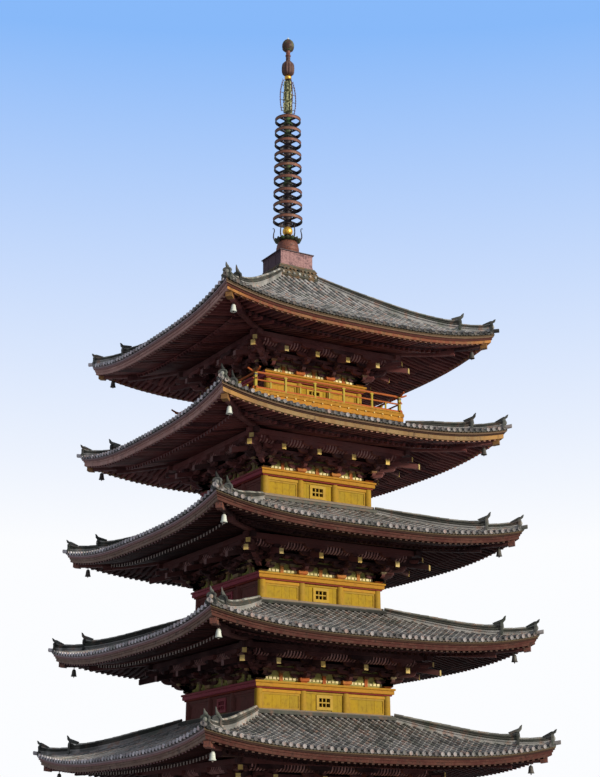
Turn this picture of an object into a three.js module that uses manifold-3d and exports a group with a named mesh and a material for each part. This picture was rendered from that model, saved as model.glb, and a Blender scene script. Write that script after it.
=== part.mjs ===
import * as THREE from 'three';
import { mergeVertices } from 'three/addons/utils/BufferGeometryUtils.js';
import { ParametricGeometry } from 'three/addons/geometries/ParametricGeometry.js';
import Module from 'manifold-3d';

// Five-storey timber pagoda. All driving sizes are metres of the full-size tower.
// One drawing unit is a millimetre of the half-size model, +Z up, origin on the ground under the axis.
const modelScale = 0.5;
const unitsPerMetre = 1000 * modelScale;
const fitGap = 0.0006;
const quarters = [0, 1, 2, 3];

// Heights of the tile edge, half-widths of the tile edge and of the post lines, per storey
const eaveHeights = [6.8, 11.9, 16.96, 22.03, 27.04];
const eaveHalves = [9.05, 8.66, 8.28, 7.89, 7.58];
const postHalves = [3.78, 3.48, 3.2, 2.92, 2.62];
const topStorey = eaveHeights.length - 1;

// Corner lift and flare of the eaves
const cornerLift = 0.72;
const cornerFlare = 0.08;
const cornerPower = 3;
const liftReach = 6.5;
const roofLiftFade = 4.5;
const eaveLiftFade = 2;

// Roof slopes: first slope at the eave and how fast it steepens
const lowerRoof = { slope: 0.285, steepen: 0.0145, wallGap: 0.25 };
const balconyRoof = { slope: 0.27, steepen: 0.008 };
const topRoof = { slope: 0.5, steepen: 0.025 };
const tileRise = 0.2;
const roofThickness = 0.26;
const roofSeat = { rise: 1.62, width: 0.3 };

// Eaves measured from the tile edge: inset and drop
const eaveBoard = { inset: 0.22, drop: 0.35 };
const flyingTip = { inset: 0.46, drop: 0.47 };
const flyingFoot = { inset: 1.75, drop: 0.27 };
const baseTip = { inset: 1.68, drop: 0.5 };
const deckSeat = { rise: 0.25, thickness: 0.25, inner: 0.55, outer: 0.1 };

// Bracket heights measured from the tile edge height
const lintelTop = -1.6;
const bracketStep = 0.45;
const armWidth = 0.24;
const tieWidth = 0.18;
const purlin = { low: -0.33, high: -0.085, width: 0.26 };

// Storey frames
const podiumTop = 0.95;
const postRadius = 0.19;
const lintel = { height: 0.28, outer: 0.33, inner: 0.3 };
const sillBeam = { rise: 2.05, height: 0.2, outer: 0.24 };
const floorBeam = { rise: 1.7, height: 0.2, inner: 0.45 };
const roofLedger = { height: 0.16, outer: 0.42 };
const curbHalf = 0.15;
const wallThickness = 0.3;
const floorThickness = 0.1;
const pillarRadius = 0.34;
const pillarHole = 0.5;

// Ground storey openings
const door = { half: 0.86, low: 1.15, high: 3.75, leaf: 0.07 };
const sideWindow = { half: 0.72, low: 2.2, high: 3.35 };
const headBeam = { low: 3.75, height: 0.2 };
const upperWindow = { half: 0.37, low: -2.75, high: -2.16 };

// Balcony and railing of the top storey
const balcony = { half: 4.32, top: 1.92, thickness: 0.12, beamInset: 0.26, beamWidth: 0.16, beamDepth: 0.45 };
const railing = { half: 4.12, cross: 0.44, upturn: 0.15, top: 0.84, middle: 0.46, foot: 0.1, radius: 0.055 };

// Podium
const podium = { half: 5.3, stepHalf: 1.3, risers: 5, tread: 0.3 };

// Finial heights and radii
const basin = { half: 0.95, lipHalf: 1.02, low: 32.1, lipLow: 32.8, top: 32.93, inner: 0.82 };
const skirt = { half: 1.16, inner: 0.8, seat: 30.7, lap: 0.1 };
const bowlTop = 34.1;
const lotusTop = 34.7;
const ringHeights = [35.05, 35.83, 36.58, 37.34, 38.05, 38.77, 39.51, 40.17, 40.89];
const ringRadii = { low: 0.76, high: 0.67 };
const ringBand = { thickness: 0.07, half: 0.09 };
const shaftRadius = 0.16;
const shaftTop = 41.3;
const flameTop = 43.45;
const wheelTop = 44.8;
const jewelTop = 46;

const wasm = await Module();
wasm.setup();
const { Manifold, Mesh: ManifoldMesh } = wasm;

const weldTolerance = 1e-3;

// A closed geometry as a solid that can be joined and cut
function solid(geometry) {
  const bare = geometry.index ? geometry.toNonIndexed() : geometry.clone();
  bare.deleteAttribute('normal');
  bare.deleteAttribute('uv');
  const welded = mergeVertices(bare, weldTolerance);
  return new Manifold(new ManifoldMesh({
    numProp: 3,
    vertProperties: new Float32Array(welded.attributes.position.array),
    triVerts: new Uint32Array(welded.index.array),
  }));
}

function union(solids) {
  return solids.reduce((whole, piece) => whole.add(piece));
}

function geometryOf(whole) {
  const mesh = whole.asOriginal().simplify(0.01).getMesh();
  const geometry = new THREE.BufferGeometry();
  geometry.setAttribute('position', new THREE.BufferAttribute(new Float32Array(mesh.vertProperties), 3));
  geometry.setIndex(new THREE.BufferAttribute(new Uint32Array(mesh.triVerts), 1));
  return geometry;
}

// Box between two corners given in metres
function box(low, high) {
  const size = high.map((value, axis) => (value - low[axis]) * unitsPerMetre);
  const middle = high.map((value, axis) => (value + low[axis]) / 2 * unitsPerMetre);
  const geometry = new THREE.BoxGeometry(...size);
  geometry.translate(...middle);
  return solid(geometry);
}

function squareShape(half) {
  const reach = half * unitsPerMetre;
  const shape = new THREE.Shape();
  shape.moveTo(-reach, -reach);
  shape.lineTo(reach, -reach);
  shape.lineTo(reach, reach);
  shape.lineTo(-reach, reach);
  shape.closePath();
  return shape;
}

// Square slab with a square hole
function squareRing(outer, inner, low, high) {
  const shape = squareShape(outer);
  shape.holes.push(squareShape(inner));
  const depth = (high - low) * unitsPerMetre;
  const geometry = new THREE.ExtrudeGeometry(shape, { depth, bevelEnabled: false });
  geometry.translate(0, 0, low * unitsPerMetre);
  return solid(geometry);
}

function post(x, y, radius, low, high, sides = 8) {
  const scaled = radius * unitsPerMetre;
  const geometry = new THREE.CylinderGeometry(scaled, scaled, (high - low) * unitsPerMetre, sides);
  geometry.rotateX(Math.PI / 2);
  geometry.translate(x * unitsPerMetre, y * unitsPerMetre, (low + high) / 2 * unitsPerMetre);
  return solid(geometry);
}

function flatPoint([across, height]) {
  return new THREE.Vector2(across, height).multiplyScalar(unitsPerMetre);
}

// Solid of revolution about the tower's axis, profile as [radius, height] pairs in metres
function turned(profile, sides = 12) {
  const points = profile.map(flatPoint);
  const geometry = new THREE.LatheGeometry(points, sides);
  geometry.rotateX(Math.PI / 2);
  return solid(geometry);
}

// Profile drawn as [distance out, height], as thick as width, standing in the plane at the given angle.
// Angle 0 points along -Y.
function profilePlate(profile, width, angle, offset = 0) {
  const shape = new THREE.Shape(profile.map(flatPoint));
  const geometry = new THREE.ExtrudeGeometry(shape, { depth: width * unitsPerMetre, bevelEnabled: false });
  geometry.translate(0, 0, (offset - width / 2) * unitsPerMetre);
  geometry.rotateX(Math.PI / 2);
  geometry.rotateZ(-Math.PI / 2);
  geometry.rotateZ(angle);
  return solid(geometry);
}

function quarterTurns(makeSolid) {
  return quarters.map((turn) => makeSolid(turn * Math.PI / 2, turn));
}

// A closed section swept round a square, with its corners lifted and flared.
// Each section point has a half-width, a height and its share of the corner lift.
const cornerStops = 6;

function sweptSquare(section) {
  const slices = cornerStops * 4;
  const place = (u, v, target) => {
    const stop = Math.round(u * slices) % slices;
    const side = Math.floor(stop / cornerStops);
    const along = Math.sin(((stop % cornerStops) / cornerStops * 2 - 1) * Math.PI / 2);
    const point = section[Math.round(v * section.length) % section.length];
    const rise = Math.abs(along) ** cornerPower;
    const out = point.half + cornerFlare * point.share * rise;
    const across = along * (point.half + cornerFlare * point.share);
    const height = point.height + cornerLift * point.share * rise;
    const quarter = side * Math.PI / 2;
    const cos = Math.round(Math.cos(quarter));
    const sin = Math.round(Math.sin(quarter));
    target.set(across * cos + out * sin, across * sin - out * cos, height).multiplyScalar(unitsPerMetre);
  };
  return solid(new ParametricGeometry(place, slices, section.length));
}

const fade = (inset, power) => Math.max(0, 1 - inset / liftReach) ** power;
const roofShare = (inset) => fade(inset, roofLiftFade);
const eaveShare = (inset) => fade(inset, eaveLiftFade);

function roofOf(storey) {
  if (storey === topStorey) return topRoof;
  return storey === topStorey - 1 ? balconyRoof : lowerRoof;
}

function tileHeight(storey, inset) {
  const { slope, steepen } = roofOf(storey);
  return eaveHeights[storey] + tileRise + slope * inset + steepen * inset ** 2;
}

function roofInner(storey) {
  return storey === topStorey ? skirt.half : postHalves[storey + 1] + lowerRoof.wallGap;
}

// The tiled shell, without its ridges
function roofShell(storey) {
  const edge = eaveHalves[storey];
  const inner = roofInner(storey);
  const reach = edge - inner;
  const stops = [0, 1.2, 3];
  const top = [...stops, reach].map((inset) => ({
    half: edge - inset, height: tileHeight(storey, inset), share: roofShare(inset),
  }));
  const under = [...stops.slice(1), reach - roofSeat.width].reverse().map((inset) => ({
    half: edge - inset, height: tileHeight(storey, inset) - roofThickness, share: roofShare(inset),
  }));
  const lip = [{ half: edge, height: eaveHeights[storey], share: 1 }];
  const seat = storey === topStorey
    ? [
      { half: inner, height: basin.low, share: 0 },
      { half: skirt.inner, height: basin.low, share: 0 },
      { half: skirt.inner, height: skirt.seat, share: 0 },
      { half: inner + skirt.lap, height: skirt.seat, share: 0 },
    ]
    : [
      { half: inner, height: eaveHeights[storey] + roofSeat.rise, share: 0 },
      { half: inner + 0.2, height: eaveHeights[storey] + roofSeat.rise, share: 0 },
    ];
  return sweptSquare([...top, ...seat, ...under, ...lip]);
}

// Hip ridges in two steps, each with an upturned horn at its end
const upperRidge = { end: 1.2, back: 0.24, middle: 0.38, height: 0.52, horn: 0.32 };
const lowerRidge = { end: 0.12, back: 0.26, middle: 0.26, height: 0.34, horn: 0.2 };
const ridgeWidth = 0.34;
const hornWidth = 0.09;

function hipPoint(storey, inset, above) {
  const out = eaveHalves[storey] - inset + cornerFlare * roofShare(inset);
  return [out * Math.SQRT2, tileHeight(storey, inset) + cornerLift * roofShare(inset) + above];
}

// The hip ridges run up to the wall above, or stop at the balcony's edge
function ridgeTopHalf(storey) {
  return storey === topStorey - 1 ? balcony.half + 0.02 : roofInner(storey) + 0.02;
}

// The top of one step, which sweeps up to its end
function ridgeLine(storey, ridge, start) {
  return [
    hipPoint(storey, start, ridge.back),
    hipPoint(storey, (start + ridge.end) * 0.55, ridge.middle),
    hipPoint(storey, ridge.end + 0.45, ridge.middle),
    hipPoint(storey, ridge.end, ridge.height),
  ];
}

function hipRidge(storey) {
  const reach = eaveHalves[storey] - ridgeTopHalf(storey);
  const foot = [lowerRidge.end, 1.2, 3, reach].map((inset) => hipPoint(storey, inset, -0.1));
  const tops = [
    ...ridgeLine(storey, upperRidge, reach),
    ...ridgeLine(storey, lowerRidge, upperRidge.end),
  ];
  return [...tops, ...foot];
}

function hornProfile(storey, ridge) {
  const [tipOut, tipHeight] = hipPoint(storey, ridge.end - 0.1, ridge.height + ridge.horn);
  const [footOut, footHeight] = hipPoint(storey, ridge.end + 0.02, ridge.height - 0.2);
  const [backOut, backHeight] = hipPoint(storey, ridge.end + 0.28, ridge.height - 0.1);
  return [[footOut, footHeight], [tipOut, tipHeight], [backOut, backHeight]];
}

function roof(storey) {
  const turns = quarterTurns((angle) => {
    const diagonal = angle + Math.PI / 4;
    const horns = [upperRidge, lowerRidge].map(
      (ridge) => profilePlate(hornProfile(storey, ridge), hornWidth, diagonal),
    );
    return union([profilePlate(hipRidge(storey), ridgeWidth, diagonal), ...horns]);
  });
  return union([roofShell(storey), ...turns]);
}

// Rafter deck of the eaves, from the column-foot seat out to the eave board
function eaveDeck(storey) {
  const edge = eaveHalves[storey];
  const level = eaveHeights[storey];
  const line = postHalves[storey];
  const at = (inset, height) => ({ half: edge - inset, height: level + height, share: eaveShare(inset) });
  const flat = (half, height) => ({ half, height: level + height, share: 0 });
  const seatTop = deckSeat.rise + deckSeat.thickness;
  return sweptSquare([
    at(eaveBoard.inset, -0.01),
    at(0.9, -0.03),
    flat(line + deckSeat.outer, seatTop),
    flat(line - deckSeat.inner, seatTop),
    flat(line - deckSeat.inner, deckSeat.rise),
    flat(line + deckSeat.outer, deckSeat.rise),
    at(baseTip.inset, -baseTip.drop),
    at(flyingFoot.inset - 0.08, -flyingFoot.drop),
    at(flyingTip.inset, -flyingTip.drop),
    at(eaveBoard.inset + 0.02, -eaveBoard.drop),
  ]);
}

// Diagonal beams under the hips, with the wind bell that hangs near their ends
const cornerBeam = { width: 0.28, depth: 0.22, end: 0.36, stepInset: 1.6 };
const bell = { inset: 0.88, radius: 0.155, height: 0.36, drop: 0.12, rodRadius: 0.02 };

function deckUnder(storey, inset) {
  const slope = (flyingTip.drop - flyingFoot.drop) / (flyingFoot.inset - flyingTip.inset);
  const drop = flyingTip.drop - slope * (inset - flyingTip.inset);
  return eaveHeights[storey] - drop + cornerLift * eaveShare(inset);
}

function cornerOut(storey, inset) {
  return (eaveHalves[storey] - inset + cornerFlare * eaveShare(inset)) * Math.SQRT2;
}

function cornerRafter(storey, angle) {
  const level = eaveHeights[storey];
  const under = (inset, drop) => [cornerOut(storey, inset), deckUnder(storey, inset) - drop];
  const wallOut = (postHalves[storey] + bracketStep * 3 + purlin.width) * Math.SQRT2;
  const profile = [
    under(cornerBeam.end, -0.12),
    under(cornerBeam.end, cornerBeam.depth),
    under(cornerBeam.stepInset, cornerBeam.depth),
    under(cornerBeam.stepInset, cornerBeam.depth * 2),
    [wallOut, level - 0.07],
    [wallOut, level + 0.1],
    under(flyingFoot.inset, -0.12),
  ];
  const diagonal = angle + Math.PI / 4;
  const place = cornerOut(storey, bell.inset);
  const beamUnder = deckUnder(storey, bell.inset) - cornerBeam.depth;
  const bellTop = beamUnder - bell.drop;
  const rim = bellTop - bell.height;
  const bellProfile = [
    [0, rim], [bell.radius, rim], [bell.radius * 0.62, bellTop - 0.08],
    [bell.rodRadius, bellTop], [bell.rodRadius, beamUnder + 0.05], [0, beamUnder + 0.05],
  ];
  const hung = turned(bellProfile, 5);
  const x = Math.sin(diagonal) * place * unitsPerMetre;
  const y = -Math.cos(diagonal) * place * unitsPerMetre;
  return union([profilePlate(profile, cornerBeam.width, diagonal), hung.translate([x, y, 0])]);
}

function eaves(storey) {
  return union([eaveDeck(storey), ...quarterTurns((angle) => cornerRafter(storey, angle))]);
}

// One stepped bracket with its tail rafter, as a side profile measured from the wall line
function bracketProfile(stretch, line, level) {
  const outline = [
    [-0.1, lintelTop], [0.21, lintelTop], [bracketStep + 0.13, -1.3], [bracketStep + 0.13, -1.1],
    [bracketStep * 2 + 0.13, -0.96], [1.85, -1.04], [1.85, -0.8], [1.48, -0.67],
    [1.48, purlin.low], [1.22, purlin.low], [1.22, -0.58], [-0.1, -0.1],
  ];
  return outline.map(([out, height]) => [(line + out) * stretch, level + height]);
}

function brackets(storey) {
  const level = eaveHeights[storey];
  const line = postHalves[storey];
  const ring = (out, width, low, high) => squareRing(
    line + out + width / 2, line + out - width / 2, level + low, level + high,
  );
  const straight = quarterTurns((angle) => union([-line / 3, line / 3].map(
    (offset) => profilePlate(bracketProfile(1, line, level), armWidth, angle, offset),
  )));
  const cornerProfile = bracketProfile(Math.SQRT2, line, level);
  const diagonal = quarterTurns((angle) => profilePlate(cornerProfile, armWidth, angle + Math.PI / 4));
  return union([
    ring(-0.03, 0.18, lintelTop, deckSeat.rise),
    ring(bracketStep * 2, tieWidth, -0.75, -0.55),
    ring(bracketStep * 3, purlin.width, purlin.low, purlin.high),
    ...straight,
    ...diagonal,
  ]);
}

// Twelve posts held by rings of beams
function footHeight(storey) {
  return storey === 0 ? podiumTop : eaveHeights[storey - 1] + deckSeat.rise + deckSeat.thickness;
}

function postPlaces(line) {
  const third = line / 3;
  const places = [];
  for (const across of [-line, -third, third, line]) {
    for (const along of [-line, -third, third, line]) {
      if (Math.max(Math.abs(across), Math.abs(along)) === line) places.push([across, along]);
    }
  }
  return places;
}

function postFrame(storey) {
  const line = postHalves[storey];
  const foot = footHeight(storey);
  const top = eaveHeights[storey] + lintelTop;
  const pieces = [squareRing(line + lintel.outer, line - lintel.inner, top - lintel.height, top)];
  const uprights = (low) => postPlaces(line).map(
    ([x, y]) => post(x, y, postRadius, low, top - lintel.height, 6),
  );
  if (storey === 0) {
    pieces.push(...uprights(podiumTop));
    pieces.push(squareRing(line + sillBeam.outer, line + 0.002, podiumTop, podiumTop + sillBeam.height));
    const headTop = headBeam.low + headBeam.height;
    pieces.push(squareRing(line + sillBeam.outer, line + 0.002, headBeam.low, headTop));
  } else {
    const below = eaveHeights[storey - 1];
    const beamLow = below + floorBeam.rise;
    const sillLow = below + sillBeam.rise;
    const ledgerTop = below + roofSeat.rise;
    pieces.push(...uprights(beamLow + floorBeam.height));
    pieces.push(squareRing(line + curbHalf, line - curbHalf, foot, beamLow));
    pieces.push(squareRing(line + curbHalf, line - floorBeam.inner, beamLow, beamLow + floorBeam.height));
    pieces.push(squareRing(line + sillBeam.outer, line + 0.002, sillLow, sillLow + sillBeam.height));
    const ledgerLow = ledgerTop - roofLedger.height;
    pieces.push(squareRing(line + roofLedger.outer, line + curbHalf - 0.02, ledgerLow, ledgerTop));
  }
  return union(pieces);
}

// Infill walls: a ring behind the post centres, grooved for the posts, with its openings cut through
function wallOpenings(storey) {
  const line = postHalves[storey];
  const deep = line + 1;
  if (storey > 0) {
    const level = eaveHeights[storey];
    const { half, low, high } = upperWindow;
    return [
      box([-half, -deep, level + low], [half, deep, level + high]),
      box([-deep, -half, level + low], [deep, half, level + high]),
    ];
  }
  const bay = line * 2 / 3;
  const cuts = [
    box([-door.half, -deep, door.low], [door.half, deep, door.high]),
    box([-deep, -door.half, door.low], [deep, door.half, door.high]),
  ];
  for (const middle of [-bay, bay]) {
    const { half, low, high } = sideWindow;
    cuts.push(box([middle - half, -deep, low], [middle + half, deep, high]));
    cuts.push(box([-deep, middle - half, low], [deep, middle + half, high]));
  }
  return cuts;
}

function walls(storey) {
  const line = postHalves[storey];
  const low = storey === 0 ? podiumTop : eaveHeights[storey - 1] + floorBeam.rise + floorBeam.height;
  const top = eaveHeights[storey] + lintelTop - lintel.height;
  const notch = postRadius + fitGap;
  const grooves = postPlaces(line).map(
    ([x, y]) => box([x - notch, y - notch, low - 0.1], [x + notch, y + notch, top + 0.1]),
  );
  const cuts = union([...grooves, ...wallOpenings(storey)]);
  return squareRing(line, line - wallThickness, low, top).subtract(cuts);
}

function floor(storey) {
  const low = eaveHeights[storey - 1] + floorBeam.rise + floorBeam.height;
  return squareRing(postHalves[storey] - wallThickness - fitGap, pillarHole, low, low + floorThickness);
}

// A closed pair of plank leaves standing in the doorway
function doorLeaf(turn) {
  const back = -(postHalves[0] - 0.05);
  const leaf = box(
    [-door.half + fitGap, back, door.low],
    [door.half - fitGap, back + door.leaf * 2, door.high - fitGap],
  );
  return leaf.rotate([0, 0, turn * 90]);
}

function podiumWithSteps() {
  const flights = quarterTurns((angle, turn) => {
    const treads = [];
    const riser = podiumTop / podium.risers;
    for (let index = 1; index < podium.risers; index += 1) {
      const reach = podium.half + podium.tread * (podium.risers - index);
      treads.push(box([-podium.stepHalf, -reach, 0], [podium.stepHalf, -podium.half + 0.1, riser * index]));
    }
    return union(treads).rotate([0, 0, turn * 90]);
  });
  const half = podium.half;
  return union([
    box([-half, -half, 0], [half, half, podiumTop - 0.18]),
    box([-half - 0.06, -half - 0.06, podiumTop - 0.2], [half + 0.06, half + 0.06, podiumTop]),
    ...flights,
  ]);
}

// Balcony deck on its edge beam, which is cut to the roof it rests on
function balconyDeck(shell) {
  const below = eaveHeights[topStorey - 1];
  const top = below + balcony.top;
  const inner = postHalves[topStorey] + sillBeam.outer + fitGap;
  const beamOuter = balcony.half - balcony.beamInset;
  const under = top - balcony.thickness;
  const deck = union([
    squareRing(balcony.half, inner, under, top),
    squareRing(beamOuter, beamOuter - balcony.beamWidth, under - balcony.beamDepth, under + 0.02),
  ]);
  return deck.subtract(shell.translate([0, 0, fitGap * unitsPerMetre]));
}

// One rail along a side, its ends crossing at the corners and turned up
function crossingRail(height, radius, upturn, angle) {
  const reach = railing.half + railing.cross;
  const bend = reach - 0.5;
  const line = upturn > 0
    ? [[-reach, upturn], [-bend, 0], [bend, 0], [reach, upturn]]
    : [[-reach, 0], [reach, 0]];
  const under = line.map(([along, rise]) => [along, height + rise - radius]);
  const over = line.map(([along, rise]) => [along, height + rise + radius]).reverse();
  return profilePlate([...under, ...over], radius * 2, angle + Math.PI / 2, railing.half);
}

function balconyRailing() {
  const deck = eaveHeights[topStorey - 1] + balcony.top;
  const rails = quarterTurns((angle) => union([
    crossingRail(deck + railing.top, railing.radius, railing.upturn, angle),
    crossingRail(deck + railing.middle, railing.radius, 0, angle),
  ]));
  const half = railing.half;
  const footRail = squareRing(half + railing.radius, half - railing.radius, deck, deck + railing.foot);
  const bay = half * 2 / 5;
  const posts = [];
  for (const turn of quarters) {
    for (let index = 0; index < 5; index += 1) {
      const across = -half + bay * index;
      const wide = index === 0 ? 0.07 : railing.radius;
      const top = index === 0 ? railing.top + 0.02 : railing.top;
      const upright = box([across - wide, -half - wide, deck], [across + wide, -half + wide, deck + top]);
      posts.push(upright.rotate([0, 0, turn * 90]));
    }
  }
  return union([footRail, ...posts, ...rails]);
}

// Beams and posts in the top roof that carry the dew basin
const truss = { place: 0.97, half: 0.12, beamHeight: 0.22, beamInset: 0.2 };
const trussCollar = { outer: 1.14, height: 0.2 };

function roofFrame() {
  const foot = eaveHeights[topStorey] + deckSeat.rise + deckSeat.thickness;
  const reach = postHalves[topStorey] - truss.beamInset;
  const beamTop = foot + truss.beamHeight;
  const collarLow = skirt.seat - trussCollar.height;
  const wide = truss.half;
  const pieces = [squareRing(trussCollar.outer, skirt.inner, collarLow, skirt.seat)];
  for (const side of [-truss.place, truss.place]) {
    pieces.push(box([-reach, side - wide, foot], [reach, side + wide, beamTop]));
    pieces.push(box([side - wide, -reach, foot], [side + wide, reach, beamTop]));
    for (const end of [-truss.place, truss.place]) {
      pieces.push(box([side - wide, end - wide, foot], [side + wide, end + wide, skirt.seat - wide]));
    }
  }
  return union(pieces);
}

// Finial pieces, stacked face to face on the dew basin
function dewBasin() {
  const { half, lipHalf, low, lipLow, top, inner } = basin;
  return union([
    squareRing(half, inner, low, lipLow + 0.02),
    box([-lipHalf, -lipHalf, lipLow], [lipHalf, lipHalf, top]),
  ]);
}

function invertedBowl() {
  return turned([
    [0, basin.top], [0.62, basin.top], [0.62, 33.03], [0.5, 33.1], [0.5, 33.34], [0.6, 33.4], [0.6, 33.6],
    [0.56, 33.82], [0.42, 34.0], [0.24, bowlTop], [0, bowlTop],
  ]);
}

function lotusCup() {
  return turned([
    [0, bowlTop], [0.22, bowlTop], [0.34, 34.22], [0.6, 34.36], [0.7, 34.52], [0.66, 34.66], [0.54, 34.56],
    [0.3, 34.46], [0.27, lotusTop], [0, lotusTop],
  ]);
}

function nineRings() {
  const shaft = [[0, lotusTop], [shaftRadius, lotusTop], [shaftRadius, shaftTop], [0, shaftTop]];
  const pieces = [turned(shaft, 8)];
  const count = ringHeights.length - 1;
  ringHeights.forEach((height, index) => {
    const radius = ringRadii.low + (ringRadii.high - ringRadii.low) * index / count;
    const inner = radius - ringBand.thickness;
    const low = height - ringBand.half;
    const high = height + ringBand.half;
    pieces.push(turned([[inner, low], [radius, low], [radius, high], [inner, high], [inner, low]]));
    for (const quarter of [45, 135]) {
      const reach = radius - ringBand.thickness / 2;
      const spoke = box([-reach, -0.03, height - 0.05], [reach, 0.03, height + 0.05]);
      pieces.push(spoke.rotate([0, 0, quarter]));
    }
  });
  return union(pieces);
}

// Four openwork fins in the shape of flames round the shaft
function waterFlame() {
  const fin = [
    [0.05, 41.45], [0.3, 41.42], [0.46, 41.7], [0.4, 42.05], [0.5, 42.3],
    [0.38, 42.65], [0.4, 42.95], [0.24, 43.2], [0.16, 43.4], [0.05, 43.3],
  ];
  const fins = quarterTurns((angle) => profilePlate(fin, 0.06, angle));
  return union([turned([[0, shaftTop], [0.1, shaftTop], [0.08, flameTop], [0, flameTop]], 10), ...fins]);
}

function dragonWheel() {
  return turned([
    [0, flameTop], [0.1, flameTop], [0.1, 43.6], [0.24, 43.72], [0.33, 43.95], [0.34, 44.12],
    [0.32, 44.3], [0.22, 44.5], [0.1, 44.62], [0.1, wheelTop], [0, wheelTop],
  ]);
}

function jewel() {
  return turned([
    [0, wheelTop], [0.16, wheelTop], [0.24, 44.92], [0.14, 45.08], [0.26, 45.22], [0.33, 45.42], [0.31, 45.6],
    [0.2, 45.78], [0.07, 45.9], [0, jewelTop],
  ]);
}

const finishes = {
  tile: { color: 0x9a9b96, roughness: 0.8, metalness: 0 },
  darkTimber: { color: 0x2e1d1c, roughness: 0.85, metalness: 0 },
  ochreTimber: { color: 0xc07a1e, roughness: 0.75, metalness: 0 },
  ochreWall: { color: 0xb98a24, roughness: 0.85, metalness: 0 },
  stone: { color: 0x9c978c, roughness: 0.9, metalness: 0 },
  bronze: { color: 0x6d4538, roughness: 0.5, metalness: 0.8 },
  basinMetal: { color: 0x9a6a66, roughness: 0.6, metalness: 0.5 },
};

const pagoda = new THREE.Group();

function addPiece(name, finish, whole) {
  const mesh = new THREE.Mesh(geometryOf(whole), new THREE.MeshStandardMaterial(finishes[finish]));
  mesh.name = name;
  pagoda.add(mesh);
}

addPiece('podium', 'stone', podiumWithSteps());
addPiece('heart_pillar', 'darkTimber', post(0, 0, pillarRadius, podiumTop, basin.lipLow, 10));
for (let storey = 0; storey <= topStorey; storey += 1) {
  const label = storey + 1;
  addPiece(`post_frame_${label}`, 'ochreTimber', postFrame(storey));
  addPiece(`walls_${label}`, 'ochreWall', walls(storey));
  addPiece(`brackets_${label}`, 'darkTimber', brackets(storey));
  addPiece(`eaves_${label}`, 'darkTimber', eaves(storey));
  addPiece(`roof_${label}`, 'tile', roof(storey));
  if (storey > 0) addPiece(`floor_${label}`, 'darkTimber', floor(storey));
}
['front', 'right', 'back', 'left'].forEach((face, turn) => {
  addPiece(`door_${face}`, 'darkTimber', doorLeaf(turn));
});
addPiece('balcony_5', 'ochreTimber', balconyDeck(roofShell(topStorey - 1)));
addPiece('railing_5', 'ochreTimber', balconyRailing());
addPiece('roof_frame', 'darkTimber', roofFrame());
addPiece('dew_basin', 'basinMetal', dewBasin());
addPiece('inverted_bowl', 'bronze', invertedBowl());
addPiece('lotus_cup', 'bronze', lotusCup());
addPiece('nine_rings', 'bronze', nineRings());
addPiece('water_flame', 'bronze', waterFlame());
addPiece('dragon_wheel', 'bronze', dragonWheel());
addPiece('jewel', 'bronze', jewel());

export default pagoda;
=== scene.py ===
import functools
import math

import bmesh
import bpy
import numpy as np
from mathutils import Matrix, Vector


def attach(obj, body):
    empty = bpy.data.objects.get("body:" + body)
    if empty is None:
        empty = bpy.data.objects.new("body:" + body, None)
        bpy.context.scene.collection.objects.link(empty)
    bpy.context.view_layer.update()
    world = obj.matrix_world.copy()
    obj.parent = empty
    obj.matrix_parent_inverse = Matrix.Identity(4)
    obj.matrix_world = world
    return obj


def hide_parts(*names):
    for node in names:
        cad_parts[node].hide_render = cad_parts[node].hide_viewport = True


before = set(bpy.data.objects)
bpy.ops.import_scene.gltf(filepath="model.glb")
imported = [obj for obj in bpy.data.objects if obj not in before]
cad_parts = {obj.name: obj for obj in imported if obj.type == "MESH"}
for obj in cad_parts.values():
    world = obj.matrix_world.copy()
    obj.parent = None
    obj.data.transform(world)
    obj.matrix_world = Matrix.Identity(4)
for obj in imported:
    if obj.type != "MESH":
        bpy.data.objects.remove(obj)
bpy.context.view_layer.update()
chance = np.random.default_rng(11)
scene = bpy.context.scene
print("pagoda: frame loaded")

# sizes of the full-size tower in metres, as in the part's source; the pieces are made at half of them
tower = {
    "modelScale": 0.5,
    "eaveHeights": (6.8, 11.9, 16.96, 22.03, 27.04),   # underside of the tile ends
    "eaveHalves": (9.05, 8.66, 8.28, 7.89, 7.58),      # axis to tile edge
    "postHalves": (3.78, 3.48, 3.2, 2.92, 2.62),       # axis to the line of posts
    "cornerLift": 0.72,
    "cornerFlare": 0.08,
    "cornerPower": 3,
    "liftReach": 6.5,                                  # how far in from the edge the corner lift is felt
    "roofFade": 4.5,
    "eaveFade": 2,
    "lintelTop": -1.6,                                 # from the tile ends
    "podiumTop": 0.95,
    "balconyHalf": 4.32,
}
storeys = range(5)
topStorey = 4
shadedStoreys = 3    # the lower ones, with the timber under their eaves painted darker for the deep shade there

camera = {
    "turn": 29.99,       # degrees round from the front, towards the left side
    "aside": 0.487,      # degrees that the camera looks to the right of the axis
    "away": 38.566,
    "height": 0.85,
    "rise": 17.29,       # degrees that the camera looks up
    "lens": 72.87,
}


def makeCamera():
    turn = math.radians(camera["turn"])
    yaw = turn + math.radians(camera["aside"])
    rise = math.radians(camera["rise"])
    made = bpy.data.objects.new("camera", bpy.data.cameras.new("camera"))
    scene.collection.objects.link(made)
    made.data.sensor_fit = "AUTO"
    made.data.sensor_width = 36
    made.data.lens = camera["lens"]
    made.data.clip_end = 400
    made.location = (-math.sin(turn) * camera["away"], -math.cos(turn) * camera["away"], camera["height"])
    ahead = Vector((math.sin(yaw) * math.cos(rise), math.cos(yaw) * math.cos(rise), math.sin(rise)))
    made.rotation_euler = ahead.to_track_quat("-Z", "Y").to_euler()
    scene.camera = made


makeCamera()


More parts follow.
